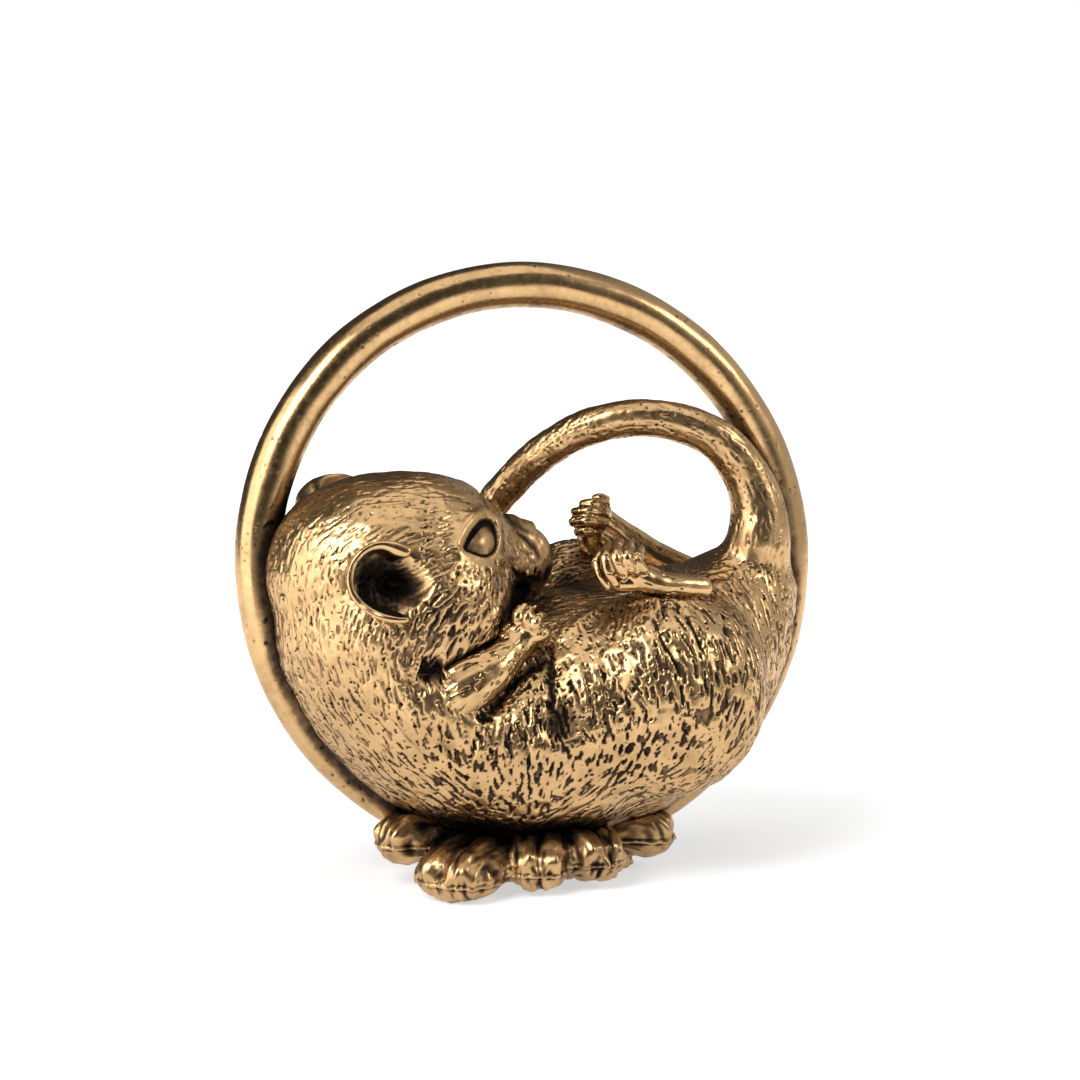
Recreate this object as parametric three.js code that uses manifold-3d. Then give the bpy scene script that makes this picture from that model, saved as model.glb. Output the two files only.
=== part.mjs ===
// A dormouse asleep on its back inside a hoop, on an oak leaf: a small bronze ornament.
// The sections are cast or bent one by one, set on locating dowels and brazed together.
// Millimetres and degrees, +Z up. The origin lies on the table, under the middle of the leaf.
import * as THREE from 'three';
import { mergeVertices } from 'three/addons/utils/BufferGeometryUtils.js';
import Module from 'manifold-3d';

const wasm = await Module();
wasm.setup();

// Fits
const BRAZE_GAP = 0.3; // left between two sections for the braze
const DOWEL_FIT = 0.3; // round a dowel in its hole
const DOWEL_END = 0.4; // air left at the bottom of a dowel's hole
const BODY_DOWEL = { diameter: 2, grip: 4 }; // grip is the length in each of the two holes
const LIMB_DOWEL = { diameter: 1, grip: 1.2, depth: 3 }; // depth is the length in the body
const LEAF_DOWEL = { diameter: 1.6, grip: 2.2, depth: 4 };
const LEAF_DOWEL_SPREAD = 6; // from the hoop's plane to each of the leaf's two dowels
const HOOP_DOWEL = { diameter: 1.6, grip: 3 };
const HOOP_BUTT_ANGLE = 258; // where the ends of the bent rod meet, inside the animal's back

// Hoop
const HOOP_RING = 57; // centre line of the bent rod
const HOOP_ROD = 4.7;
const HOOP_LEAN = 7; // how far the hoop and the animal lean back
const HOOP_LIFT = 1; // from the table to the lowest point of the rod
const HOOP_BACK = 2.5; // from the middle of the leaf back to the middle of the hoop

// Body: stations along the curled back. Angles run round the hoop, 0 at the right and 90 at the top.
const BACK_OVERLAP = 2.7; // how far the back reaches over the rod from the inside
const BODY_NEAR = 1; // how far the body sits towards the near side of the hoop
const SHOULDERS = { angle: 200, thick: 22, wide: 27, long: 17 };
const CHEST = { angle: 236, thick: 17, wide: 28, long: 17 };
const BELLY = { angle: 276, thick: 25, wide: 30, long: 17 };
const RUMP = { angle: 320, thick: 22, wide: 26, long: 17 };
const TAIL_HEAD = { angle: 350, thick: 10, wide: 11, long: 11 };
const RIBS = 11; // masses from the shoulders to the tail
const NECK_RIBS = 3; // of these, how many the neck runs into
const HAUNCH = { length: 19, wide: 14, height: 20 };
const NEAR_HAUNCH = { x: 11, spread: 10.5, drop: 13.8 }; // spread is from the body's middle plane
const FAR_HAUNCH = { x: 8.2, spread: 10.5, drop: 8 };
const BODY_BLEND = 0.8; // softness of the creases between the masses

// Head: sizes along, across and above the skull, in the head's own frame with the nose along +X
const HEAD_ROLL = 21; // crown turned towards the near side
const HEAD_PITCH = 3; // nose turned down
const HEAD_IN = 0.6; // back of the skull inside the curve of the back
const HEAD_NEAR = 3;
const HEAD_DROP = 0.6;
const SKULL = { length: 24.6, wide: 20.4, height: 19.6 };
const CHEEK = { size: 14.6, forward: 3.4, out: 5.4, drop: 1.6 };
const BROW = { length: 10, wide: 13, height: 8.4, forward: 5.6, rise: 4.4 };
const MUZZLE = { length: 13, wide: 9.6, height: 9.6, forward: 10.2, rise: 0.9 };
const NOSE = { size: 3, forward: 15.4, rise: 1.6 };
const EYE = { size: 4.2, forward: 7.6, out: 4.4, rise: 4.6 };
const HEAD_BLEND = 0.8;
const NECK_SLOPE = -12; // slope of the cut between the head and the body
const NECK_DROP = 9.4; // from the middle of the skull down to that cut

// Ears
const EAR_DIAMETER = 7.4;
const EAR_DEPTH = 3.8;
const EAR_WALL = 0.8;
const EAR_BACK = 2.8; // behind the middle of the skull
const EAR_RISE = 3.2;
const EAR_STAND = 1.9; // middle of the rim above the skin
const EAR_FULLNESS = 0.7; // how square the cup is at its foot, from a cone at 0
const EAR_FACING = { forward: 0.36, out: 0.86, up: 0.3 };

// Legs: x towards the tail, y to the far side and z up from the middle of the hoop, and how far
// the middle of the leg stands above the body's skin there
const FORELEG_SHOULDER = { x: -15, z: -14.6, above: -3, thick: 6.2 };
const FORELEG_ELBOW = { x: -10.6, z: -12.9, above: -0.3, thick: 5.2 };
const FORELEG_WRIST = { x: -6.2, z: -9.3, above: 0.9, thick: 4.4 };
const FORELEG_PAW = { x: -4.2, z: -6.9, above: 1.3, thick: 4.4 };
const NEAR_HEEL = { x: 15.9, y: -10.6, above: 0.6, wide: 3.1, thick: 2.9 };
const NEAR_ARCH = { x: 10.8, y: -11.2, above: 0.8, wide: 3.5, thick: 2.9 };
const NEAR_BALL = { x: 6.8, y: -11.6, above: 1.6, wide: 4.4, thick: 3.8 };
const FAR_HOCK = { x: 20, y: 4, above: -1.5, wide: 4.4, thick: 4.4 };
const FAR_SHIN = { x: 15.4, y: 5.6, above: 1, wide: 4, thick: 3.2 };
const FAR_ANKLE = { x: 11.6, y: 6.2, above: 2.6, wide: 3.5, thick: 3.2 };
const FAR_BALL = { x: 8.8, y: 6.2, above: 2.9, wide: 4.4, thick: 4 };

// Fingers and toes: the joints of the first one, from the middle of the paw or of the ball of the
// foot, and the step from each one to the next. A finger's y points away from the body.
const DIGITS = 4;
const FINGER_THICK = 1.5;
const FINGER = [
  { at: { x: -0.7, y: 0.8, z: 1.95 }, step: { x: 0.6, y: 0, z: -0.7 } },
  { at: { x: -0.1, y: 0, z: 3.45 }, step: { x: 0.8, y: 0, z: -1.1 } },
];
const TOE_THICK = 1.5;
const NEAR_TOE = [
  { at: { x: -1, y: -1.2, z: -1.4 }, step: { x: 0.2, y: 0, z: 0.4 } },
  { at: { x: -2.3, y: -1.6, z: 1.3 }, step: { x: 1.1, y: 0, z: 0.25 } },
  { at: { x: -1.7, y: -0.2, z: 2 }, step: { x: 1.15, y: 0, z: 0.15 } },
];
const FAR_TOE = [
  { at: { x: 1.2, y: -1.7, z: 1.6 }, step: { x: 0, y: 0, z: -1.15 } },
  { at: { x: -1, y: -2.2, z: 1.7 }, step: { x: 0, y: 0, z: -1.15 } },
  { at: { x: -2, y: -0.9, z: 1.4 }, step: { x: 0, y: 0, z: -1.15 } },
];

// Tail: x and z from the middle of the hoop, and how far it lies behind its foremost line
const TAIL_FORWARD = 1.4; // middle of the tail in front of the rod's face
const TAIL_ROOT_THICK = 7.8;
const TAIL_ROUTE = [
  { x: 23.8, z: 0.5, behind: 0, thick: 6.6 },
  { x: 24, z: 4.6, behind: 0, thick: 5.4 },
  { x: 22.6, z: 8.4, behind: 0, thick: 4.7 },
  { x: 19.6, z: 11.9, behind: 0, thick: 4.1 },
  { x: 15.6, z: 13.8, behind: 0.7, thick: 3.7 },
  { x: 11.2, z: 14.4, behind: 1.9, thick: 3.7 },
  { x: 6.2, z: 13.4, behind: 3.8, thick: 3.6 },
  { x: 2, z: 10.7, behind: 6.8, thick: 3.5 },
  { x: -1.2, z: 7, behind: 9.8, thick: 3.4 },
  { x: -4.6, z: 3, behind: 12.2, thick: 3.1 },
];
const TAIL_TIP = { forward: 3, out: 10.2, up: -2, thick: 2.6 }; // on the far cheek

// Leaf: its lobes by the angle round the pad, from the animal's tail end
const LEAF_PAD = { length: 21, wide: 15, height: 7 };
const LOBE_THICK = 5.6;
const LOBE_RISE = 2.5; // middle of a lobe's tip above the table
const LOBE_ROOT = { reach: 0.4, wide: 0.6, thick: 0.7, rise: 1.1 }; // as shares of the tip's
const LOBE_MIDDLE = { reach: 0.75, wide: 0.95, thick: 0.95, rise: 1.2 };
const LOBES = [
  { angle: 195, reach: 18.8, wide: 6.2, lift: 2.5 },
  { angle: 223, reach: 19.4, wide: 9.2, lift: 0 },
  { angle: 253, reach: 14.6, wide: 6.8, lift: 0.4 },
  { angle: 285, reach: 13.6, wide: 7, lift: 0.8 },
  { angle: 340, reach: 14.4, wide: 6.4, lift: 1.3 },
  { angle: 40, reach: 15, wide: 7.4, lift: 0.6 },
  { angle: 84, reach: 14.4, wide: 7.4, lift: 0.2 },
  { angle: 132, reach: 16.6, wide: 8.8, lift: 0 },
];

// Fineness of the modelled surfaces
const BODY_DETAIL = 10;
const HEAD_DETAIL = 8;
const HOOP_STEPS = 48;
const HOOP_SIDES = 12;
const LIMB_SIDES = 10;
const LIMB_RINGS = 6;
const DIGIT_SIDES = 7;
const TAIL_RINGS = 34;
const LOBE_RINGS = 4;
const PAD_SIDES = 20;
const PAD_RINGS = 10;
const EAR_SIDES = 16;
const EAR_STEPS = 4;
const DOWEL_SIDES = 12;
const CAP_RINGS = 2;
const RAY_STRIDE = 0.8; // first search for the skin along a ray, then halved over and over
const RAY_HALVINGS = 14;
const LINE_STRIDE = 0.2;
const WELD = 1e-4;

// Solids that can be cut to fit each other

function toSolid(geometry) {
  const bare = new THREE.BufferGeometry();
  bare.setAttribute('position', geometry.getAttribute('position'));
  bare.setIndex(geometry.index);
  const merged = mergeVertices(bare, WELD);
  return new wasm.Manifold(
    new wasm.Mesh({
      numProp: 3,
      vertProperties: merged.getAttribute('position').array,
      triVerts: new Uint32Array(merged.index.array),
    }),
  );
}

function toGeometry(solid) {
  const mesh = solid.getMesh();
  const geometry = new THREE.BufferGeometry();
  geometry.setAttribute('position', new THREE.BufferAttribute(mesh.vertProperties, 3));
  geometry.setIndex(new THREE.BufferAttribute(mesh.triVerts, 1));
  geometry.computeVertexNormals();
  return geometry;
}

// The largest body of a solid: a cut may leave a sliver beside it.
function mainBody(solid) {
  return solid.decompose().sort((a, b) => b.volume() - a.volume())[0];
}

function join(solids) {
  return solids.reduce((sum, solid) => sum.add(solid));
}

// Modelled masses: ellipsoids whose surfaces run into each other

function mass(centre, length, wide, height, turn = new THREE.Quaternion()) {
  return {
    centre,
    half: new THREE.Vector3(length, wide, height).multiplyScalar(0.5),
    unturn: turn.clone().invert(),
  };
}

// Distance from a point to an ellipsoid, below zero inside, true enough close to its surface.
function distanceTo({ centre, half, unturn }, point) {
  const local = point.clone().sub(centre).applyQuaternion(unturn);
  const scaled = local.clone().divide(half);
  const steep = scaled.clone().divide(half);
  const reach = scaled.length();
  return reach < 1e-6 ? -Math.min(half.x, half.y, half.z) : (reach * (reach - 1)) / steep.length();
}

function blended(masses, softness, point) {
  const sum = masses.reduce((total, m) => total + Math.exp(-distanceTo(m, point) / softness), 0);
  return -softness * Math.log(sum);
}

// The point where a ray from the middle of the masses leaves their blended surface.
function skinAlong({ middle, masses, softness }, direction, grow = 0) {
  const at = (reach) => middle.clone().addScaledVector(direction, reach);
  const outside = (reach) => blended(masses, softness, at(reach)) > grow;
  let outer = RAY_STRIDE;
  while (!outside(outer)) outer += RAY_STRIDE;
  let inner = outer - RAY_STRIDE;
  for (let i = 0; i < RAY_HALVINGS; i++) {
    const half = (inner + outer) / 2;
    if (outside(half)) outer = half;
    else inner = half;
  }
  return at(inner);
}

// The point where a line from outside comes within a height of the blended surface.
function skinFrom({ masses, softness }, start, direction, above) {
  const point = start.clone();
  while (blended(masses, softness, point) > above) point.addScaledVector(direction, LINE_STRIDE);
  return point;
}

function modelled(form, detail, grow = 0) {
  const shape = new THREE.IcosahedronGeometry(1, detail);
  const position = shape.getAttribute('position');
  const known = new Map();
  for (let i = 0; i < position.count; i++) {
    const direction = new THREE.Vector3().fromBufferAttribute(position, i).normalize();
    const key = direction.toArray().map((n) => n.toFixed(5)).join();
    if (!known.has(key)) known.set(key, skinAlong(form, direction, grow));
    position.setXYZ(i, ...known.get(key).toArray());
  }
  return toSolid(shape);
}

// Limbs, toes, lobes and the tail: an oval section swept along a smooth path, with round ends.
// A station is a point with the section's width and thickness there.
function swept(stations, thickTowards, { rings = LIMB_RINGS, sides = LIMB_SIDES } = {}) {
  const path = new THREE.CatmullRomCurve3(stations.map((s) => s.at));
  const girth = new THREE.CatmullRomCurve3(
    stations.map((s) => new THREE.Vector3(s.wide / 2, s.thick / 2, 0)),
  );
  const shape = new THREE.CapsuleGeometry(1, 1, CAP_RINGS, sides, rings);
  const position = shape.getAttribute('position');
  for (let i = 0; i < position.count; i++) {
    const rise = position.getY(i) + 0.5;
    const along = THREE.MathUtils.clamp(rise, 0, 1);
    const half = girth.getPoint(along);
    const forward = path.getTangent(along);
    const across = forward.clone().cross(thickTowards).normalize();
    const through = across.clone().cross(forward);
    const point = path
      .getPoint(along)
      .addScaledVector(forward, (rise - along) * Math.min(half.x, half.y))
      .addScaledVector(across, position.getX(i) * half.x)
      .addScaledVector(through, position.getZ(i) * half.y);
    position.setXYZ(i, point.x, point.y, point.z);
  }
  return toSolid(shape);
}

function station(at, wide, thick = wide) {
  return { at, wide, thick };
}

const place = (x, y, z) => new THREE.Vector3(x, y, z);
const TO_TAIL = place(1, 0, 0);
const TO_FAR_SIDE = place(0, 1, 0);
const UP = place(0, 0, 1);
const radians = THREE.MathUtils.degToRad;

// Everything of the animal and the hoop is laid out in the hoop's frame: origin at its middle,
// X along the animal from nose to tail, Y to the far side, Z up in the plane of the hoop.

// Place of the hoop's frame on the table

const hoopRadius = (HOOP_RING / 2) * Math.cos(radians(HOOP_LEAN)) + HOOP_ROD / 2;
const figure = new THREE.Group();
figure.position.set(0, HOOP_BACK, HOOP_LIFT + hoopRadius);
figure.rotation.x = -radians(HOOP_LEAN);
figure.updateMatrix();
const intoFigure = figure.matrix.clone().invert();

function placed(solid, matrix) {
  return toSolid(toGeometry(solid).applyMatrix4(matrix));
}

// Dowels: straight pins across a joint, each in a hole in both sections

function rod(at, axis, diameter, before, after) {
  const shape = new THREE.CylinderGeometry(diameter / 2, diameter / 2, before + after, DOWEL_SIDES);
  shape.translate(0, (after - before) / 2, 0);
  shape.applyQuaternion(new THREE.Quaternion().setFromUnitVectors(TO_FAR_SIDE, axis.clone().normalize()));
  return toSolid(shape.translate(at.x, at.y, at.z));
}

// The pin and its hole. The axis points from the body into the section that is set on it.
function dowel(at, axis, { diameter, grip, depth = grip }) {
  return {
    pin: rod(at, axis, diameter, depth, grip),
    hole: rod(at, axis, diameter + 2 * DOWEL_FIT, depth + DOWEL_END, grip + DOWEL_END),
  };
}

// Hoop: a bent rod whose two ends meet in a butt joint

function ringSolid(grow = 0) {
  const ring = new THREE.TorusGeometry(HOOP_RING / 2, HOOP_ROD / 2 + grow, HOOP_SIDES, HOOP_STEPS);
  return toSolid(ring.rotateX(Math.PI / 2));
}

const buttTurn = new THREE.Quaternion().setFromAxisAngle(TO_FAR_SIDE, -radians(HOOP_BUTT_ANGLE));
const buttPlace = new THREE.Vector3(HOOP_RING / 2, 0, 0).applyQuaternion(buttTurn);
const buttDowel = dowel(buttPlace, UP.clone().applyQuaternion(buttTurn), HOOP_DOWEL);

function hoopSolid() {
  const slit = new THREE.BoxGeometry(2 * HOOP_ROD, 2 * HOOP_ROD, BRAZE_GAP);
  slit.applyQuaternion(buttTurn).translate(buttPlace.x, buttPlace.y, buttPlace.z);
  return ringSolid().subtract(toSolid(slit)).subtract(buttDowel.hole);
}

// Body and head

const backRadius = HOOP_RING / 2 - HOOP_ROD / 2 + BACK_OVERLAP;

// The back's stations, and the masses spread evenly between them.
const backStations = [SHOULDERS, CHEST, BELLY, RUMP, TAIL_HEAD];
const backSections = new THREE.CatmullRomCurve3(
  backStations.map(({ thick, wide, long }) => new THREE.Vector3(thick, wide, long)),
);
const backAngles = new THREE.CatmullRomCurve3(
  backStations.map(({ angle }) => new THREE.Vector3(angle, 0, 0)),
);

function backMass(along) {
  const { x: thick, y: wide, z: long } = backSections.getPoint(along);
  const angle = backAngles.getPoint(along).x;
  const turn = new THREE.Quaternion().setFromAxisAngle(TO_FAR_SIDE, -radians(angle));
  const centre = TO_TAIL.clone().applyQuaternion(turn).multiplyScalar(backRadius - thick / 2);
  centre.y = -BODY_NEAR;
  return mass(centre, thick, wide, long, turn);
}

function haunchMass(side, { x, spread, drop }) {
  const centre = new THREE.Vector3(x, side * spread - BODY_NEAR, -drop);
  return mass(centre, HAUNCH.length, HAUNCH.wide, HAUNCH.height);
}

const headTurn = new THREE.Quaternion()
  .setFromAxisAngle(TO_TAIL, radians(HEAD_ROLL))
  .multiply(new THREE.Quaternion().setFromAxisAngle(TO_FAR_SIDE, radians(HEAD_PITCH)));
const headMiddle = new THREE.Vector3(SKULL.length / 2 - backRadius + HEAD_IN, -HEAD_NEAR, -HEAD_DROP);

// A place in the head's own frame: forward to the nose, out to the far side, up to the crown.
function inHead(forward, out, up) {
  return new THREE.Vector3(forward, out, up).applyQuaternion(headTurn).add(headMiddle);
}

function headMass(forward, out, up, length, wide = length, height = length) {
  return mass(inHead(forward, out, up), length, wide, height, headTurn);
}

const skull = headMass(0, 0, 0, SKULL.length, SKULL.wide, SKULL.height);
const ribs = Array.from({ length: RIBS }, (_, n) => backMass(n / (RIBS - 1)));
const belly = backMass(backStations.indexOf(BELLY) / (backStations.length - 1));

const bodyForm = {
  middle: belly.centre,
  softness: BODY_BLEND,
  masses: [...ribs, haunchMass(-1, NEAR_HAUNCH), haunchMass(1, FAR_HAUNCH), skull],
};

const headForm = {
  middle: headMiddle,
  softness: HEAD_BLEND,
  masses: [
    skull,
    headMass(CHEEK.forward, -CHEEK.out, -CHEEK.drop, CHEEK.size),
    headMass(CHEEK.forward, CHEEK.out, -CHEEK.drop, CHEEK.size),
    headMass(BROW.forward, 0, BROW.rise, BROW.length, BROW.wide, BROW.height),
    headMass(MUZZLE.forward, 0, MUZZLE.rise, MUZZLE.length, MUZZLE.wide, MUZZLE.height),
    headMass(NOSE.forward, 0, NOSE.rise, NOSE.size),
    headMass(EYE.forward, -EYE.out, EYE.rise, EYE.size),
    headMass(EYE.forward, EYE.out, EYE.rise, EYE.size),
    ...ribs.slice(0, NECK_RIBS),
  ],
};

// The half of space below the neck cut, as a slab large enough to take the rest of the body.
function belowNeck(grow = 0) {
  const slab = new THREE.BoxGeometry(2 * HOOP_RING, 2 * HOOP_RING, HOOP_RING);
  slab.translate(0, 0, -HOOP_RING / 2 - NECK_DROP - grow);
  slab.rotateY(-radians(NECK_SLOPE));
  slab.translate(headMiddle.x, headMiddle.y, headMiddle.z);
  return toSolid(slab);
}

function headSolid(grow = 0) {
  return modelled(headForm, HEAD_DETAIL, grow).subtract(belowNeck(grow));
}

function bodySolid(grow = 0) {
  return modelled(bodyForm, BODY_DETAIL, grow);
}

// Places over the body's skin: on its flank at a point of the hoop's plane, or on top of it.
function onFlank(x, z, side, above) {
  const outside = new THREE.Vector3(x, side * HOOP_RING, z);
  return skinFrom(bodyForm, outside, new THREE.Vector3(0, -side, 0), above);
}

function onTop(x, y, above) {
  return skinFrom(bodyForm, new THREE.Vector3(x, y, HOOP_RING), new THREE.Vector3(0, 0, -1), above);
}

// A place over the head's skin, in the head's own directions.
function onHead(forward, out, up, above) {
  const direction = new THREE.Vector3(forward, out, up).normalize().applyQuaternion(headTurn);
  return skinAlong(headForm, direction, above);
}

// Ears: a thin cup, open towards the front and the side

function earSolid(side) {
  const rim = EAR_DIAMETER / 2;
  const floor = EAR_WALL - EAR_DEPTH;
  const profile = new THREE.Path();
  profile.moveTo(0, -EAR_DEPTH);
  const inside = rim - EAR_WALL;
  profile.bezierCurveTo(rim * EAR_FULLNESS, -EAR_DEPTH, rim, -EAR_DEPTH * EAR_FULLNESS, rim, 0);
  profile.absarc(rim - EAR_WALL / 2, 0, EAR_WALL / 2, 0, Math.PI);
  profile.bezierCurveTo(inside, floor * EAR_FULLNESS, inside * EAR_FULLNESS, floor, 0, floor);
  const cup = new THREE.LatheGeometry(profile.getPoints(EAR_STEPS), EAR_SIDES).rotateX(Math.PI / 2);
  const facing = new THREE.Vector3(EAR_FACING.forward, side * EAR_FACING.out, EAR_FACING.up);
  const turn = new THREE.Quaternion().setFromUnitVectors(UP, facing.normalize());
  cup.applyQuaternion(headTurn.clone().multiply(turn));
  const seat = onHead(-EAR_BACK, (side * SKULL.wide) / 2, EAR_RISE, EAR_STAND);
  return toSolid(cup.translate(seat.x, seat.y, seat.z));
}

// Rows of fingers or toes: each runs through its joints, on the side of the paw that shows

function digits(middle, joints, thick, thickTowards, side = 1) {
  return Array.from({ length: DIGITS }, (_, n) => {
    const points = joints.map(({ at, step }) => {
      const offset = place(at.x + n * step.x, side * (at.y + n * step.y), at.z + n * step.z);
      return offset.add(middle);
    });
    const stations = points.map((point) => station(point, thick));
    return swept(stations, thickTowards, { rings: points.length, sides: DIGIT_SIDES });
  });
}

// Forelegs: from inside the shoulder along the chest to the paw under the chin

function forelegSolid(side) {
  const route = [FORELEG_SHOULDER, FORELEG_ELBOW, FORELEG_WRIST, FORELEG_PAW];
  const stations = route.map(({ x, z, above, thick }) => station(onFlank(x, z, side, above), thick));
  const paw = stations.at(-1).at;
  return join([swept(stations, UP), ...digits(paw, FINGER, FINGER_THICK, TO_FAR_SIDE, side)]);
}

// Hind feet: the near one lies along the haunch and the far one stands up, both with closed toes

function footSolid(route, toe, toeTowards) {
  const stations = route.map(({ x, y, above, wide, thick }) => station(onTop(x, y, above), wide, thick));
  const ball = stations.at(-1).at;
  return join([swept(stations, UP), ...digits(ball, toe, TOE_THICK, toeTowards)]);
}

const nearFoot = footSolid([NEAR_HEEL, NEAR_ARCH, NEAR_BALL], NEAR_TOE, TO_FAR_SIDE);
const farFoot = footSolid([FAR_HOCK, FAR_SHIN, FAR_ANKLE, FAR_BALL], FAR_TOE, UP);

// Tail: from the rump up in front of the hoop, over, and down behind the head

const tailFront = -(HOOP_ROD / 2 + TAIL_FORWARD);
const tailTip = onHead(TAIL_TIP.forward, TAIL_TIP.out, TAIL_TIP.up, TAIL_TIP.thick / 2);
const tailStations = [
  station(ribs.at(-1).centre, TAIL_ROOT_THICK),
  ...TAIL_ROUTE.map(({ x, z, behind, thick }) => station(place(x, tailFront + behind, z), thick)),
  station(tailTip, TAIL_TIP.thick),
];

function tailSolid() {
  return swept(tailStations, TO_FAR_SIDE, { rings: TAIL_RINGS });
}

// Leaf: a thick pad with lobes that curl up round the animal's back, flat where it stands

function lobeSolid({ angle, reach, wide, lift }) {
  const out = new THREE.Vector3(Math.cos(radians(angle)), Math.sin(radians(angle)), 0);
  const at = (far, z) => out.clone().multiplyScalar(far).setZ(z + lift);
  const tip = reach - LOBE_THICK / 2;
  const share = (s) =>
    station(at(tip * s.reach, LOBE_RISE * s.rise), wide * s.wide, LOBE_THICK * s.thick);
  const end = station(at(tip, LOBE_RISE), wide, LOBE_THICK);
  return swept([share(LOBE_ROOT), share(LOBE_MIDDLE), end], UP, { rings: LOBE_RINGS });
}

function leafSolid() {
  const pad = new THREE.SphereGeometry(1, PAD_SIDES, PAD_RINGS);
  pad.scale(LEAF_PAD.length / 2, LEAF_PAD.wide / 2, LEAF_PAD.height / 2);
  const table = new THREE.BoxGeometry(2 * HOOP_RING, 2 * HOOP_RING, HOOP_RING);
  table.translate(0, 0, -HOOP_RING / 2);
  return join([toSolid(pad), ...LOBES.map(lobeSolid)]).subtract(toSolid(table));
}

// Dowels between the body and what is set on it

const neckNormal = UP.clone().applyAxisAngle(TO_FAR_SIDE, -radians(NECK_SLOPE));
const neckDowel = dowel(headMiddle.clone().addScaledVector(neckNormal, -NECK_DROP), neckNormal, BODY_DOWEL);
const tailLine = tailStations[2].at.clone().sub(tailStations[0].at).normalize();
const tailSeat = skinAlong({ ...bodyForm, middle: tailStations[0].at }, tailLine);
const tailDowel = dowel(tailSeat, tailLine, BODY_DOWEL);

function forelegDowel(side) {
  const seat = onFlank(FORELEG_ELBOW.x, FORELEG_ELBOW.z, side, 0);
  return dowel(seat, place(0, side, 0), LIMB_DOWEL);
}

function footDowel({ x, y }) {
  return dowel(onTop(x, y, 0), UP, LIMB_DOWEL);
}

// On the table, under the belly, on either side of the hoop.
function leafDowel(side) {
  const lowest = new THREE.Vector3(0, 0, -HOOP_RING / 2).applyMatrix4(figure.matrix);
  const under = new THREE.Vector3(0, lowest.y + side * LEAF_DOWEL_SPREAD, 0).applyMatrix4(intoFigure);
  const up = UP.clone().transformDirection(intoFigure);
  return dowel(skinFrom(bodyForm, under, up, 0), up.negate(), LEAF_DOWEL);
}

const dowels = {
  neck_dowel: neckDowel,
  tail_dowel: tailDowel,
  foreleg_dowel_near: forelegDowel(-1),
  foreleg_dowel_far: forelegDowel(1),
  hind_foot_dowel_near: footDowel(NEAR_ARCH),
  hind_foot_dowel_far: footDowel(FAR_SHIN),
  leaf_dowel_near: leafDowel(-1),
  leaf_dowel_far: leafDowel(1),
};
const drilled = join(Object.values(dowels).map((d) => d.hole));

// Sections cut to fit each other

const hoopRoom = ringSolid(BRAZE_GAP);
const headRoom = headSolid(BRAZE_GAP);
const bodyRoom = bodySolid(BRAZE_GAP);
const torso = mainBody(bodySolid().subtract(headRoom).subtract(hoopRoom).subtract(drilled));
const head = mainBody(headSolid().subtract(hoopRoom).subtract(neckDowel.hole));
const ear = (side) => mainBody(earSolid(side).subtract(headRoom).subtract(hoopRoom));

function setOnBody(solid) {
  return mainBody(solid.subtract(bodyRoom).subtract(headRoom).subtract(hoopRoom).subtract(drilled));
}

const leafRoom = join([bodyRoom, hoopRoom, drilled]);
const leaf = mainBody(leafSolid().subtract(placed(leafRoom, figure.matrix)));

// Finishes

const bronze = { roughness: 0.34, metalness: 1 };

function section(name, solid, colour) {
  const material = new THREE.MeshStandardMaterial({ ...bronze, color: colour });
  const mesh = new THREE.Mesh(toGeometry(solid), material);
  mesh.name = name;
  return mesh;
}

figure.add(
  section('hoop', hoopSolid(), 0xb5915a),
  section('hoop_butt_dowel', buttDowel.pin, 0xc9a25c),
  section('torso', torso, 0xa67c45),
  section('head', head, 0xb0864c),
  section('ear_near', ear(-1), 0x8c6a3c),
  section('ear_far', ear(1), 0x8c6a3c),
  section('foreleg_near', setOnBody(forelegSolid(-1)), 0xbb9459),
  section('foreleg_far', setOnBody(forelegSolid(1)), 0xbb9459),
  section('hind_foot_near', setOnBody(nearFoot), 0xb98f52),
  section('hind_foot_far', setOnBody(farFoot), 0x7d674a),
  section('tail', setOnBody(tailSolid()), 0xa88250),
  ...Object.entries(dowels).map(([name, { pin }]) => section(name, pin, 0xc9a25c)),
);

const dormouse = new THREE.Group();
dormouse.add(figure, section('leaf_base', leaf, 0x93703f));

export default dormouse;
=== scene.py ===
# %% [markdown]
# # A dormouse asleep in a hoop
# A small cast bronze: a dormouse lies on its back, curled along the inside of a polished hoop,
# and the hoop stands on an oak leaf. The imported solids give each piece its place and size. This
# lesson dresses them: it turns the plain solids into modelled skin with tooled fur, and gives
# every surface an old bronze finish, bright on the high spots and nearly black in the hollows.

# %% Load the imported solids
import math

import bmesh
import bpy
import numpy as np
from mathutils import Matrix, Vector, noise as field
from mathutils.bvhtree import BVHTree
from mathutils.kdtree import KDTree


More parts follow.
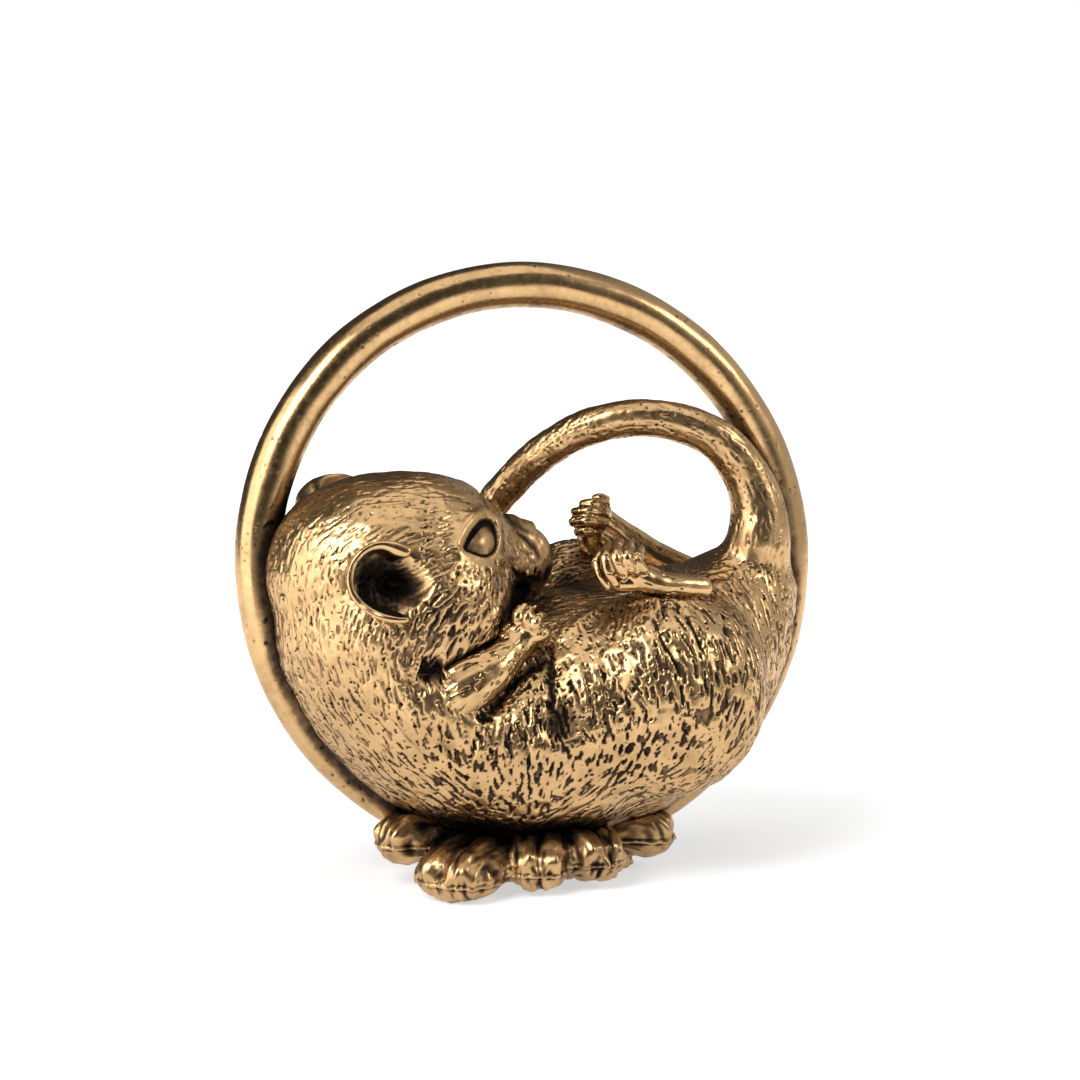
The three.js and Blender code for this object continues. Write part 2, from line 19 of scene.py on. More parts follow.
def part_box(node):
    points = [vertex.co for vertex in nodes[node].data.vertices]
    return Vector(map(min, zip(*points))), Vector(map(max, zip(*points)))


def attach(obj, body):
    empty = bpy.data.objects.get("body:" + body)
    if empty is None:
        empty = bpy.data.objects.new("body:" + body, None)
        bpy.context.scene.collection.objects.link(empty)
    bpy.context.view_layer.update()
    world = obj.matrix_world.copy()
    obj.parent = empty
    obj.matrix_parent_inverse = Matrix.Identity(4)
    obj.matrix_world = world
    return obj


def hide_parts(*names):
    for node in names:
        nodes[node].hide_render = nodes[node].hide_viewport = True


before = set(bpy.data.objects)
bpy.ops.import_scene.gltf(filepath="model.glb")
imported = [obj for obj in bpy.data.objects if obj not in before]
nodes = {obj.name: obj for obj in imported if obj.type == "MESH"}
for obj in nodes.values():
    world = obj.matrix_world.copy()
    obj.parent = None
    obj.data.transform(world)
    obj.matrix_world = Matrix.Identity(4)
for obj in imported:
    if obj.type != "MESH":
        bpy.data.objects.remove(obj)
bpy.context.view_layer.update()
MM = 0.001
print("solids:", ", ".join(sorted(nodes)))

# %% [markdown]
# ## One drawing frame for the whole animal
# The hoop leans back a little, and the animal leans with it. It is easier to model in the hoop's
# own frame, in millimetres: x from the nose to the tail, y to the far side, z up in the plane of
# the hoop, with the origin at the hoop's middle. One matrix takes a finished mesh to its place.

# %% The hoop's frame
HOOP_LEAN = math.radians(7)
ROD = 4.7

hoop_low, hoop_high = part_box("hoop")
hoop_middle = (hoop_low + hoop_high) / 2
hoop_radius = (hoop_high.x - hoop_low.x) / 2 / MM - ROD / 2
to_world = (
    Matrix.Translation(hoop_middle)
    @ Matrix.Rotation(-HOOP_LEAN, 4, "X")
    @ Matrix.Scale(MM, 4)
)
from_world = to_world.inverted()
print(f"hoop: {2 * hoop_radius:.1f} mm ring, middle at {hoop_middle.z / MM:.1f} mm")

# %% [markdown]
# ## Camera
# The photograph is square and was taken with a long lens, a little from the left and from just
# above. The camera comes first, because several marks on the animal are placed by the pixel where
# the photograph shows them: a ray through that pixel finds the skin.

# %% Camera at the photograph's angle
FRAME_PIXELS = 1080
SENSOR = 36.0
VIEW_AZIMUTH = math.radians(-17)
VIEW_RISE = math.radians(7.4)
VIEW_DISTANCE = 280 * MM
FOCAL_PIXELS = 2709
HOOP_PIXEL = (530.2, 560.4)

view_back = Vector((
    math.sin(VIEW_AZIMUTH) * math.cos(VIEW_RISE),
    -math.cos(VIEW_AZIMUTH) * math.cos(VIEW_RISE),
    math.sin(VIEW_RISE),
))
view_right = Vector((math.cos(VIEW_AZIMUTH), math.sin(VIEW_AZIMUTH), 0))
view_up = view_back.cross(view_right)
eye_point = hoop_middle + view_back * VIEW_DISTANCE


def pixel_ray(pixel):
    """Direction from the camera through a pixel of the photograph."""
    across = (pixel[0] - HOOP_PIXEL[0]) / FOCAL_PIXELS
    down = (pixel[1] - HOOP_PIXEL[1]) / FOCAL_PIXELS
    return (view_right * across - view_up * down - view_back).normalized()


camera = bpy.data.objects.new("camera", bpy.data.cameras.new("camera"))
bpy.context.scene.collection.objects.link(camera)
camera.location = eye_point
centre_ray = pixel_ray((FRAME_PIXELS / 2, FRAME_PIXELS / 2))
camera.rotation_euler = centre_ray.to_track_quat("-Z", "Y").to_euler()
camera.data.sensor_width = SENSOR
camera.data.lens = SENSOR * FOCAL_PIXELS / FRAME_PIXELS
camera.data.clip_start = 0.01
bpy.context.scene.camera = camera
print(f"camera: {camera.data.lens:.1f} mm lens, {VIEW_DISTANCE / MM:.0f} mm away")

# %% [markdown]
# ## Nodes in few words
# Every finish here is a tree of small nodes, and a tree built in a script soon gets hard to read.
# Three helpers keep it short: one joins sockets, one adds a math node, and one takes a value from
# one range to another along a smooth step.


# %% Helpers for node trees
def link(tree, *pairs):
    for out, into in pairs:
        tree.links.new(out, into)


def maths(tree, operation, *values):
    """A math node; each value is a number or the output of another node."""
    node = tree.nodes.new("ShaderNodeMath")
    node.operation = operation
    for socket, value in zip(node.inputs, values):
        if isinstance(value, (int, float)):
            socket.default_value = value
        else:
            tree.links.new(value, socket)
    return node.outputs[0]


def ranged(tree, value, low, high, to_low=0.0, to_high=1.0):
    """A smooth step of a value from one range to another."""
    node = tree.nodes.new("ShaderNodeMapRange")
    node.interpolation_type = "SMOOTHSTEP"
    names = ("From Min", "From Max", "To Min", "To Max")
    for label, number in zip(names, (low, high, to_low, to_high)):
        node.inputs[label].default_value = number
    tree.links.new(value, node.inputs["Value"])
    return node.outputs["Result"]


print("node helpers: link, maths, ranged")

# %% [markdown]
# ## Floor
# The ornament stands on a white sheet. A sheet lit by lamps alone falls off to grey away from them,
# and more light would burn out the metal. So the floor glows for the camera, fully at a distance and
# less under the ornament, which keeps its shadow. It glows in reflections too, a little less.

# %% White floor
WHITE = (1, 1, 1, 1)
SHEET_COLOUR = (0.8, 0.8, 0.8, 1)
SHEET_ROUGHNESS = 0.9
SHEET_SPECULAR = 0.1
FLOOR_HALF = 3.0
FLOOR_GLOW = 0.55
FLOOR_MIRROR = 0.68
GLOW_START, GLOW_END = 0.03, 0.14


def floor_material():
    material = bpy.data.materials.new("white_sheet")
    material.use_nodes = True
    tree = material.node_tree
    surface = tree.nodes["Principled BSDF"]
    surface.inputs["Base Color"].default_value = SHEET_COLOUR
    surface.inputs["Roughness"].default_value = SHEET_ROUGHNESS
    surface.inputs["Specular IOR Level"].default_value = SHEET_SPECULAR
    surface.inputs["Emission Color"].default_value = WHITE
    path = tree.nodes.new("ShaderNodeLightPath")
    place = tree.nodes.new("ShaderNodeTexCoord")
    away = tree.nodes.new("ShaderNodeVectorMath")
    away.operation = "LENGTH"
    tree.links.new(place.outputs["Object"], away.inputs[0])
    glow = ranged(tree, away.outputs["Value"], GLOW_START, GLOW_END, FLOOR_GLOW, 1.0)
    mirrored = maths(tree, "MULTIPLY", path.outputs["Is Glossy Ray"], FLOOR_MIRROR)
    seen = maths(tree, "ADD", path.outputs["Is Camera Ray"], mirrored)
    tree.links.new(maths(tree, "MULTIPLY", glow, seen), surface.inputs["Emission Strength"])
    return material


def white_floor():
    bm = bmesh.new()
    bmesh.ops.create_grid(bm, x_segments=1, y_segments=1, size=FLOOR_HALF)
    mesh = bpy.data.meshes.new("floor")
    bm.to_mesh(mesh)
    bm.free()
    mesh.materials.append(floor_material())
    floor = bpy.data.objects.new("floor", mesh)
    bpy.context.scene.collection.objects.link(floor)


white_floor()
print(f"floor: a white sheet, {2 * FLOOR_HALF:.0f} m square")

# %% [markdown]
# ## Surroundings
# Polished metal shows what is round it, so the surroundings matter as much as the lamps. The world
# is dark in front, which draws the dark line along the hoop, and has a pale wall on the right. The
# camera sees it as plain white, through Light Path, and none of that white falls on the ornament.

# %% World
WALL_LIGHT = 0.54
WALL_START, WALL_END = 0.2, 0.85
FRONT_LIGHT = 0.02
BACK_LIGHT = 0.03
BACK_START, BACK_END = 0.1, 0.9


def studio_world():
    """Dark in front, a little light behind, a pale wall on the right; white for the camera."""
    world = bpy.data.worlds.new("studio")
    bpy.context.scene.world = world
    world.use_nodes = True
    tree = world.node_tree
    place = tree.nodes.new("ShaderNodeTexCoord")
    split = tree.nodes.new("ShaderNodeSeparateXYZ")
    tree.links.new(place.outputs["Generated"], split.inputs[0])
    right = ranged(tree, split.outputs["X"], WALL_START, WALL_END, FRONT_LIGHT, WALL_LIGHT)
    behind = ranged(tree, split.outputs["Y"], BACK_START, BACK_END, 0.0, BACK_LIGHT)
    path = tree.nodes.new("ShaderNodeLightPath")
    white = tree.nodes.new("ShaderNodeMix")
    white.inputs["B"].default_value = 1
    background = tree.nodes["Background"]
    link(
        tree,
        (path.outputs["Is Camera Ray"], white.inputs["Factor"]),
        (maths(tree, "ADD", right, behind), white.inputs["A"]),
        (white.outputs["Result"], background.inputs["Strength"]),
    )
    background.inputs["Color"].default_value = WHITE


studio_world()
print(f"world: {FRONT_LIGHT} in front, {WALL_LIGHT} on the right")

# %% [markdown]
# ## Lamps
# Four square lamps stand round the ornament, as softboxes do in a studio: a wide panel on the left,
# which makes the broad bright band down the hoop and the back, a key lamp above it, a small fill on
# the right and a wide lamp overhead. A row gives the angle round the hoop and the rise in degrees,
# the distance and the size in metres, and the power in watts.


# %% Lamps
def softbox(name, azimuth, rise, distance, size, power):
    """A square lamp on a sphere round the hoop, turned to face it."""
    lamp = bpy.data.lights.new(name, "AREA")
    lamp.size = size
    lamp.energy = power
    place = bpy.data.objects.new(name, lamp)
    bpy.context.scene.collection.objects.link(place)
    a, e = math.radians(azimuth), math.radians(rise)
    away = Vector((math.sin(a) * math.cos(e), -math.cos(a) * math.cos(e), math.sin(e)))
    place.location = hoop_middle + away * distance
    place.rotation_euler = (-away).to_track_quat("-Z", "Y").to_euler()


LAMPS = [
    ("panel_left", -78, 20, 0.7, 0.72, 3.3),
    ("key_left", -50, 42, 0.75, 0.32, 2.4),
    ("fill_right", 56, 34, 0.8, 0.25, 0.9),
    ("top", 20, 82, 0.7, 0.6, 1.25),
]
for lamp_row in LAMPS:
    softbox(*lamp_row)
bpy.context.scene.view_settings.view_transform = "Standard"
print(f"lamps: {len(LAMPS)}, {sum(row[-1] for row in LAMPS):.2f} W in all")

# %% [markdown]
# ## Bronze
# Old bronze is one metal with three faces: rubbed bright where hands reach it, brown on the open
# surfaces and nearly black where the patina was never rubbed off. Each mesh carries a number per
# point, `patina_and_shade`, that says how dark the point is: mostly how deep in a hollow it lies,
# and in places painted shade or a painted sheen. A shared group turns it, with some mottling and
# casting pits, into colour, roughness and a fine relief.


# %% Helpers for the finish
def new_group(name, inputs, outputs):
    group = bpy.data.node_groups.new(name, "ShaderNodeTree")
    for label, kind, value in inputs:
        socket = group.interface.new_socket(label, in_out="INPUT", socket_type=kind)
        socket.default_value = value
    for label, kind in outputs:
        group.interface.new_socket(label, in_out="OUTPUT", socket_type=kind)
    return group, group.nodes.new("NodeGroupInput"), group.nodes.new("NodeGroupOutput")


def noise(tree, where, scale, detail=3.0):
    """A noise node; the scale is a number or the output of another node."""
    node = tree.nodes.new("ShaderNodeTexNoise")
    node.inputs["Detail"].default_value = detail
    tree.links.new(where, node.inputs["Vector"])
    if isinstance(scale, (int, float)):
        node.inputs["Scale"].default_value = scale
    else:
        tree.links.new(scale, node.inputs["Scale"])
    return node.outputs["Fac"]


def swing(tree, value, amount):
    """A noise value, from 0 to 1, as a swing to both sides of zero."""
    return maths(tree, "MULTIPLY", maths(tree, "SUBTRACT", value, 0.5), amount)


print("finish helpers: new_group, noise, swing")

# %% [markdown]
# ## The shared finish
# Patina and painted shade, tarnish, mottling, grain and pits are added up to one darkness, and a
# colour ramp turns it into metal: gold, brown, then nearly black. The ramp is steep in its middle, so
# that the cut fur gets crisp edges. Dark metal is rougher, and polish makes a piece smoother all over.

# %% Bronze finish group
MOTTLE_SCALE = 230
MOTTLE_SWING = 0.65
GRAIN_SWING = 0.45
PIT_SCALE = 1100
PIT_EDGE = (0.32, 0.16)
PIT_PATCH_SCALE = 420
PIT_PATCH_EDGE = (0.5, 0.62)
PIT_DARK = 0.6
BRIGHT_ROUGHNESS, DARK_ROUGHNESS = 0.28, 0.52
ROUGHNESS_SWING = 0.16
BRONZE_STOPS = [
    (0.0, (0.73, 0.465, 0.22, 1)),
    (0.26, (0.54, 0.335, 0.155, 1)),
    (0.48, (0.215, 0.128, 0.064, 1)),
    (0.72, (0.060, 0.039, 0.025, 1)),
    (1.0, (0.013, 0.0095, 0.007, 1)),
]


def bronze_group():
    group, given, result = new_group(
        "aged_bronze",
        [
            ("Patina and Shade", "NodeSocketFloat", 0.0),
            ("Tarnish", "NodeSocketFloat", 0.0),
            ("Pitting", "NodeSocketFloat", 0.5),
            ("Grain", "NodeSocketFloat", 900.0),
            ("Polish", "NodeSocketFloat", 0.0),
        ],
        [
            ("Color", "NodeSocketColor"),
            ("Roughness", "NodeSocketFloat"),
            ("Height", "NodeSocketFloat"),
        ],
    )
    where = group.nodes.new("ShaderNodeTexCoord").outputs["Object"]
    mottle = noise(group, where, MOTTLE_SCALE, 4)
    grain = noise(group, where, given.outputs["Grain"], 4)
    spots = group.nodes.new("ShaderNodeTexVoronoi")
    spots.inputs["Scale"].default_value = PIT_SCALE
    group.links.new(where, spots.inputs["Vector"])
    dots = ranged(group, spots.outputs["Distance"], *PIT_EDGE)
    patches = ranged(group, noise(group, where, PIT_PATCH_SCALE, 2), *PIT_PATCH_EDGE)
    pits = maths(group, "MULTIPLY", maths(group, "MULTIPLY", dots, patches), given.outputs["Pitting"])
    dark = maths(group, "ADD", given.outputs["Patina and Shade"], given.outputs["Tarnish"])
    dark = maths(group, "ADD", dark, swing(group, mottle, MOTTLE_SWING))
    dark = maths(group, "ADD", dark, swing(group, grain, GRAIN_SWING))
    dark = maths(group, "ADD", dark, maths(group, "MULTIPLY", pits, PIT_DARK))
    ramp = group.nodes.new("ShaderNodeValToRGB")
    stops = ramp.color_ramp.elements
    stops[0].position, stops[0].color = BRONZE_STOPS[0]
    stops[1].position, stops[1].color = BRONZE_STOPS[-1]
    for position, colour in BRONZE_STOPS[1:-1]:
        stops.new(position).color = colour
    rough = ranged(group, dark, 0.0, 0.9, BRIGHT_ROUGHNESS, DARK_ROUGHNESS)
    rough = maths(group, "ADD", rough, swing(group, grain, ROUGHNESS_SWING))
    rough = maths(group, "SUBTRACT", rough, given.outputs["Polish"])
    height = maths(group, "SUBTRACT", maths(group, "MULTIPLY", grain, 0.5), pits)
    link(
        group,
        (dark, ramp.inputs["Fac"]),
        (ramp.outputs["Color"], result.inputs["Color"]),
        (rough, result.inputs["Roughness"]),
        (height, result.inputs["Height"]),
    )
    return group


aged_bronze = bronze_group()
print(f"group: {len(aged_bronze.nodes)} nodes, {len(BRONZE_STOPS)} colour stops")

# %% [markdown]
# ## Five finishes
# Each material places the group with its own values: the rod is tarnished and a little more polished
# than the fur, the leaf is the darkest. Light that goes from bronze to bronze turns more orange each
# time, and here it came out more orange than in the photograph. So light that has bounced meets a
# duller metal, and Light Path tells the two cases apart.

# %% Bronze materials
BOUNCE_DULL = 0.65
DULL_BRONZE = (0.17, 0.13, 0.095, 1)
BUMP_STRENGTH = 0.5


def bronze(name, tarnish=0.0, pitting=0.5, grain=900.0, polish=0.0, relief=0.04):
    """A bronze finish: the shared group, read through the piece's own hollow attribute."""
    material = bpy.data.materials.new(name)
    material.use_nodes = True
    tree = material.node_tree
    surface = tree.nodes["Principled BSDF"]
    surface.inputs["Metallic"].default_value = 1
    patina_and_shade = tree.nodes.new("ShaderNodeAttribute")
    patina_and_shade.attribute_name = "patina_and_shade"
    finish = tree.nodes.new("ShaderNodeGroup")
    finish.node_tree = aged_bronze
    finish.inputs["Tarnish"].default_value = tarnish
    finish.inputs["Pitting"].default_value = pitting
    finish.inputs["Grain"].default_value = grain
    finish.inputs["Polish"].default_value = polish
    bump = tree.nodes.new("ShaderNodeBump")
    bump.inputs["Strength"].default_value = BUMP_STRENGTH
    bump.inputs["Distance"].default_value = relief * MM
    path = tree.nodes.new("ShaderNodeLightPath")
    duller = tree.nodes.new("ShaderNodeMix")
    duller.data_type = "RGBA"
    duller.inputs["B"].default_value = DULL_BRONZE
    bounced = ranged(tree, path.outputs["Is Camera Ray"], 0.0, 1.0, BOUNCE_DULL, 0.0)
    link(
        tree,
        (patina_and_shade.outputs["Fac"], finish.inputs["Patina and Shade"]),
        (bounced, duller.inputs["Factor"]),
        (finish.outputs["Color"], duller.inputs["A"]),
        (duller.outputs["Result"], surface.inputs["Base Color"]),
        (finish.outputs["Roughness"], surface.inputs["Roughness"]),
        (finish.outputs["Height"], bump.inputs["Height"]),
        (bump.outputs["Normal"], surface.inputs["Normal"]),
    )
    return material


fur_bronze = bronze("aged_fur", tarnish=0.04, pitting=0.4)
skin_bronze = bronze("aged_skin", tarnish=0.02, pitting=0.4, polish=0.05)
rod_bronze = bronze("aged_rod", tarnish=0.09, pitting=0.6, grain=1400, polish=0.045)
leaf_bronze = bronze("aged_leaf", tarnish=0.16, pitting=0.4)
pin_brass = bronze("brass_pin", tarnish=0.05, pitting=0.2)
print("finishes: 5 from one group")

# %% [markdown]
# ## Working a solid into skin
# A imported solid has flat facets. A voxel remesh lays an even grid of small faces over it, a
# smoothing pass takes out the facets, and one subdivision makes the grid fine enough for fur. The
# solids are grown by a hair first, so that the brazed gaps between them close.

# %% From solids to an even mesh
WELD_DISTANCE = 0.002


def copy_of(*names, grow=0.0):
    """The named solids in the hoop's frame, welded, with their faces moved outwards a little."""
    bm = bmesh.new()
    for name in names:
        bm.from_mesh(nodes[name].data)
    bmesh.ops.transform(bm, matrix=from_world, verts=bm.verts)
    bmesh.ops.remove_doubles(bm, verts=bm.verts, dist=WELD_DISTANCE)
    bm.normal_update()
    moves = [(vert, vert.normal * grow) for vert in bm.verts]
    for vert, move in moves:
        vert.co += move
    return bm


def through_modifiers(bm, *modifiers):
    """Runs a bmesh through a stack of modifiers, each a type and its settings."""
    mesh = bpy.data.meshes.new("work")
    bm.to_mesh(mesh)
    bm.free()
    work = bpy.data.objects.new("work", mesh)
    bpy.context.scene.collection.objects.link(work)
    for kind, settings in modifiers:
        modifier = work.modifiers.new(kind, kind)
        for key, value in settings.items():
            setattr(modifier, key, value)
    bpy.context.view_layer.update()
    depsgraph = bpy.context.evaluated_depsgraph_get()
    result = bpy.data.meshes.new_from_object(work.evaluated_get(depsgraph))
    bpy.data.objects.remove(work)
    bpy.data.meshes.remove(mesh)
    return result


def worked(bm, voxel, smoothing, subdivide=True):
    steps = [
        ("REMESH", {"mode": "VOXEL", "voxel_size": voxel}),
        ("SMOOTH", {"factor": 0.5, "iterations": smoothing}),
    ]
    if subdivide:
        steps.append(("SUBSURF", {"levels": 1, "render_levels": 1}))
    return through_modifiers(bm, *steps)


print("mesh helpers: copy_of, through_modifiers, worked")

# %% [markdown]
# ## Points as arrays
# The skin is shaped by arithmetic on all its points at once, so small helpers take points and normals
# out of a mesh as arrays and put points back. A search tree over the triangles finds where a ray
# meets the skin. A rough coat over torso, head and tail comes first, to place everything else on.


# %% Arrays, search trees and the rough coat
def points_of(mesh):
    points = np.empty(len(mesh.vertices) * 3)
    mesh.vertices.foreach_get("co", points)
    return points.reshape(-1, 3)


def normals_of(mesh):
    normals = np.empty(len(mesh.vertices) * 3)
    mesh.vertex_normals.foreach_get("vector", normals)
    return normals.reshape(-1, 3)


def move_points(mesh, points):
    mesh.vertices.foreach_set("co", points.ravel())
    mesh.update()


def tree_of(mesh):
    mesh.calc_loop_triangles()
    corners = np.empty(len(mesh.loop_triangles) * 3, int)
    mesh.loop_triangles.foreach_get("vertices", corners)
    return BVHTree.FromPolygons(points_of(mesh).tolist(), corners.reshape(-1, 3).tolist())


GROW = 0.24
ROUGH_VOXEL, ROUGH_SMOOTHING = 0.5, 8
coat_names = ("torso", "head", "tail", "neck_dowel", "tail_dowel")
coat = worked(copy_of(*coat_names, grow=GROW), ROUGH_VOXEL, ROUGH_SMOOTHING, subdivide=False)
coat_tree = tree_of(coat)
print(f"coat: {len(coat.vertices)} points over {', '.join(coat_names)}")

# %% [markdown]
# ## Finding places on the skin
# A ray through a pixel of the photograph meets the coat at one point, and that is where a mark goes
# that the photograph shows there. The far side isn't in the picture, so it takes the same marks in
# mirror image: about the head's own middle plane for the face, and about the body's for the rest.

# %% Places by pixel, and their mirror images
BODY_MIDDLE = -1.0
HEAD_MIDDLE = Vector((-15.95, -3.0, -0.6))
HEAD_TURN = Matrix.Rotation(math.radians(21), 3, "X") @ Matrix.Rotation(math.radians(3), 3, "Y")
NOSE_PIXEL = (540, 538)


def on_coat(pixel):
    """The point and outward direction of the coat at a pixel of the photograph."""
    start = from_world @ eye_point
    way = (from_world.to_3x3() @ pixel_ray(pixel)).normalized()
    hit, normal, *_ = coat_tree.ray_cast(start, way)
    return hit, normal


def image_way(across, down, normal):
    """A direction drawn in the picture, laid on the skin."""
    way = from_world.to_3x3() @ (view_right * across - view_up * down)
    return (way - normal * way.dot(normal)).normalized()


def head_mirror(vector, is_place=True):
    local = HEAD_TURN.inverted() @ (vector - HEAD_MIDDLE if is_place else vector)
    turned = HEAD_TURN @ Vector((local.x, -local.y, local.z))
    return turned + HEAD_MIDDLE if is_place else turned


def body_mirror(vector, is_place=True):
    return Vector((vector.x, (2 * BODY_MIDDLE if is_place else 0) - vector.y, vector.z))


print("nose in the hoop's frame, mm:", [round(c, 1) for c in on_coat(NOSE_PIXEL)[0]])

# %% [markdown]
# ## The way the fur lies
# On a chased bronze the fur is cut with a small tool, and the cuts follow the animal: back from the
# nose over the head, down the cheek and the flank, towards the leaf. A few guide strokes read off
# the photograph set the direction of the cuts, the share of the skin they take, and their length,
# width and depth in millimetres. Everywhere else the guides near a point are mixed.

# %% Guide strokes: pixel, direction across and down, then share, length, width and depth
HEAD_GUIDES = [
    ((450, 484), (-1.0, 0.0), 0.34, 2.5, 0.26, 0.05), ((385, 492), (-0.95, 0.3), 0.28, 2.5, 0.29, 0.05),
    ((335, 514), (-0.7, 0.7), 0.22, 1.7, 0.29, 0.06), ((300, 560), (-0.25, 0.97), 0.27, 1.5, 0.27, 0.07),
    ((385, 533), (-0.8, 0.6), 0.14, 1.5, 0.29, 0.05), ((434, 510), (-0.9, 0.4), 0.32, 1.7, 0.26, 0.06),
    ((440, 545), (-0.85, 0.5), 0.31, 1.5, 0.26, 0.05), ((434, 571), (-0.77, 0.63), 0.30, 2.1, 0.36, 0.13),
    ((462, 592), (-0.8, 0.55), 0.36, 1.7, 0.32, 0.10), ((478, 575), (-0.5, 0.8), 0.20, 0.8, 0.29, 0.09),
    ((491, 607), (-0.5, 0.85), 0.33, 1.1, 0.38, 0.14), ((427, 629), (-0.5, 0.85), 0.30, 1.2, 0.38, 0.14),
    ((470, 655), (-0.6, 0.8), 0.34, 1.1, 0.38, 0.15), ((530, 530), (-0.8, -0.5), 0.10, 0.9, 0.27, 0.03),
    ((508, 545), (0.6, 0.6), 0.17, 0.9, 0.27, 0.07), ((450, 640), (-0.5, 0.85), 0.33, 1.2, 0.40, 0.15),
]
BODY_GUIDES = [
    ((380, 633), (-0.15, 1.0), 0.28, 1.1, 0.27, 0.09), ((335, 610), (-0.1, 1.0), 0.25, 1.1, 0.27, 0.08),
    ((289, 610), (0.05, 1.0), 0.25, 1.1, 0.27, 0.08), ((316, 663), (0.2, 1.0), 0.27, 1.1, 0.27, 0.09),
    ((365, 671), (0.15, 1.0), 0.28, 1.3, 0.29, 0.09), ((400, 690), (0.2, 0.98), 0.28, 1.3, 0.29, 0.10),
    ((346, 717), (0.5, 0.87), 0.32, 1.4, 0.30, 0.10), ((392, 732), (0.5, 0.87), 0.20, 1.2, 0.33, 0.11),
    ((434, 724), (0.4, 0.9), 0.19, 1.1, 0.34, 0.12), ((465, 747), (0.25, 0.97), 0.29, 1.4, 0.38, 0.14),
    ((411, 770), (0.6, 0.8), 0.29, 1.4, 0.36, 0.13), ((457, 793), (0.55, 0.83), 0.31, 1.2, 0.38, 0.15),
    ((503, 786), (0.1, 1.0), 0.30, 1.2, 0.38, 0.15), ((526, 747), (0.1, 1.0), 0.27, 1.7, 0.38, 0.14),
    ((557, 770), (-0.1, 1.0), 0.30, 1.3, 0.40, 0.15), ((583, 724), (0.3, 0.95), 0.30, 1.4, 0.36, 0.14),
    ((590, 640), (0.4, 0.9), 0.15, 0.9, 0.32, 0.09), ((622, 671), (0.35, 0.94), 0.29, 1.1, 0.36, 0.14),
    ((671, 640), (0.3, 0.95), 0.29, 1.9, 0.36, 0.14), ((700, 625), (0.25, 0.97), 0.31, 2.8, 0.36, 0.15),
    ((729, 640), (0.2, 0.98), 0.31, 3.0, 0.38, 0.14), ((765, 600), (0.05, 1.0), 0.36, 2.3, 0.32, 0.10),
    ((768, 648), (-0.15, 0.99), 0.27, 2.1, 0.34, 0.11), ((745, 694), (-0.3, 0.95), 0.29, 1.7, 0.36, 0.13),
    ((691, 709), (0.0, 1.0), 0.31, 1.7, 0.40, 0.16), ((641, 755), (-0.3, 0.95), 0.30, 1.1, 0.40, 0.16),
    ((698, 755), (-0.6, 0.8), 0.34, 1.5, 0.32, 0.10), ((603, 805), (-0.6, 0.8), 0.27, 1.5, 0.34, 0.11),
    ((570, 600), (0.9, -0.1), 0.38, 1.4, 0.26, 0.07), ((640, 610), (0.2, 0.95), 0.32, 1.6, 0.29, 0.10),
    ((765, 540), (0.1, -1.0), 0.18, 2.2, 0.32, 0.05), ((752, 490), (-0.35, -0.93), 0.20, 2.2, 0.32, 0.05),
    ((722, 447), (-0.7, -0.7), 0.20, 2.2, 0.32, 0.05),
    ((680, 424), (-0.93, -0.35), 0.20, 2.2, 0.32, 0.05),
    ((640, 419), (-1.0, 0.0), 0.20, 2.2, 0.32, 0.05), ((590, 424), (-0.96, 0.25), 0.21, 2.2, 0.32, 0.06),
    ((545, 445), (-0.8, 0.6), 0.22, 2.2, 0.32, 0.06), ((508, 480), (-0.6, 0.8), 0.32, 2.2, 0.32, 0.07),
]
GUIDE_REACH = 2.6
LEAST_WEIGHT = 0.05
BLOCK = 20000


def gather_guides():
    rows = []
    for guides, mirror in ((HEAD_GUIDES, head_mirror), (BODY_GUIDES, body_mirror)):
        for pixel, (across, down), *traits in guides:
            place, normal = on_coat(pixel)
            way = image_way(across, down, normal)
            rows.append((place, way, normal, traits))
            rows.append((mirror(place), mirror(way, False), mirror(normal, False), traits))
    return [np.array(column) for column in zip(*rows)]


guide_places, guide_ways, guide_normals, guide_traits = gather_guides()


def guide_weights(points):
    """How much each guide counts at each point: the near ones alone, with a sum of one."""
    blocks = []
    for part in np.array_split(points, len(points) // BLOCK + 1):
        apart = ((part[:, None] - guide_places[None]) ** 2).sum(2)
        apart -= apart.min(1, keepdims=True)
        weight = np.exp(-apart / (2 * GUIDE_REACH**2))
        weight[weight < LEAST_WEIGHT] = 0
        blocks.append((weight / weight.sum(1, keepdims=True)).astype(np.float32))
    return np.concatenate(blocks)


print(f"guides: {len(guide_places)} strokes, mirrored ones included")

# %% [markdown]
# ## Cutting the fur
# A smooth random field, stretched along the fur, is cut off at a level: what lies above the level is
# a cut, and the level decides how much of the skin is cut. That gives long, uneven cells that run
# with the fur and sometimes join, with smooth metal left standing between them.

# %% Random fields and cells
CUT_SHARES = (0.0, 0.05, 0.1, 0.25, 0.5, 0.75)
CUT_LEVELS = (0.9, 0.46, 0.36, 0.2, 0.0, -0.2)
CUT_EDGE = 0.16
GUIDE_OFFSET = 7.3


def field_at(spots):
    return np.array([field.noise(spot) for spot in spots.tolist()])


def uneven(points, size, offset=0.0):
    """A smooth random field over the points, from -1 to 1, with patches of a size."""
    return field_at(points / size + offset)


def stretched(points, weights, longer, wider, offset):
    """A random field with patches as long and wide as the guides say, run along the fur."""
    total, power = np.zeros(len(points)), np.zeros(len(points))
    guides = zip(guide_places, guide_ways, guide_normals, guide_traits)
    for k, (place, way, normal, (_, length, width, _)) in enumerate(guides):
        here = np.flatnonzero(weights[:, k])
        share = weights[here, k]
        across = np.cross(normal, way) / (width * wider)
        axes = np.stack([way / (length * longer), across, normal / width])
        spots = (points[here] - place) @ axes.T + offset + GUIDE_OFFSET * k
        total[here] += share * field_at(spots)
        power[here] += share**2
    return total / np.sqrt(power)


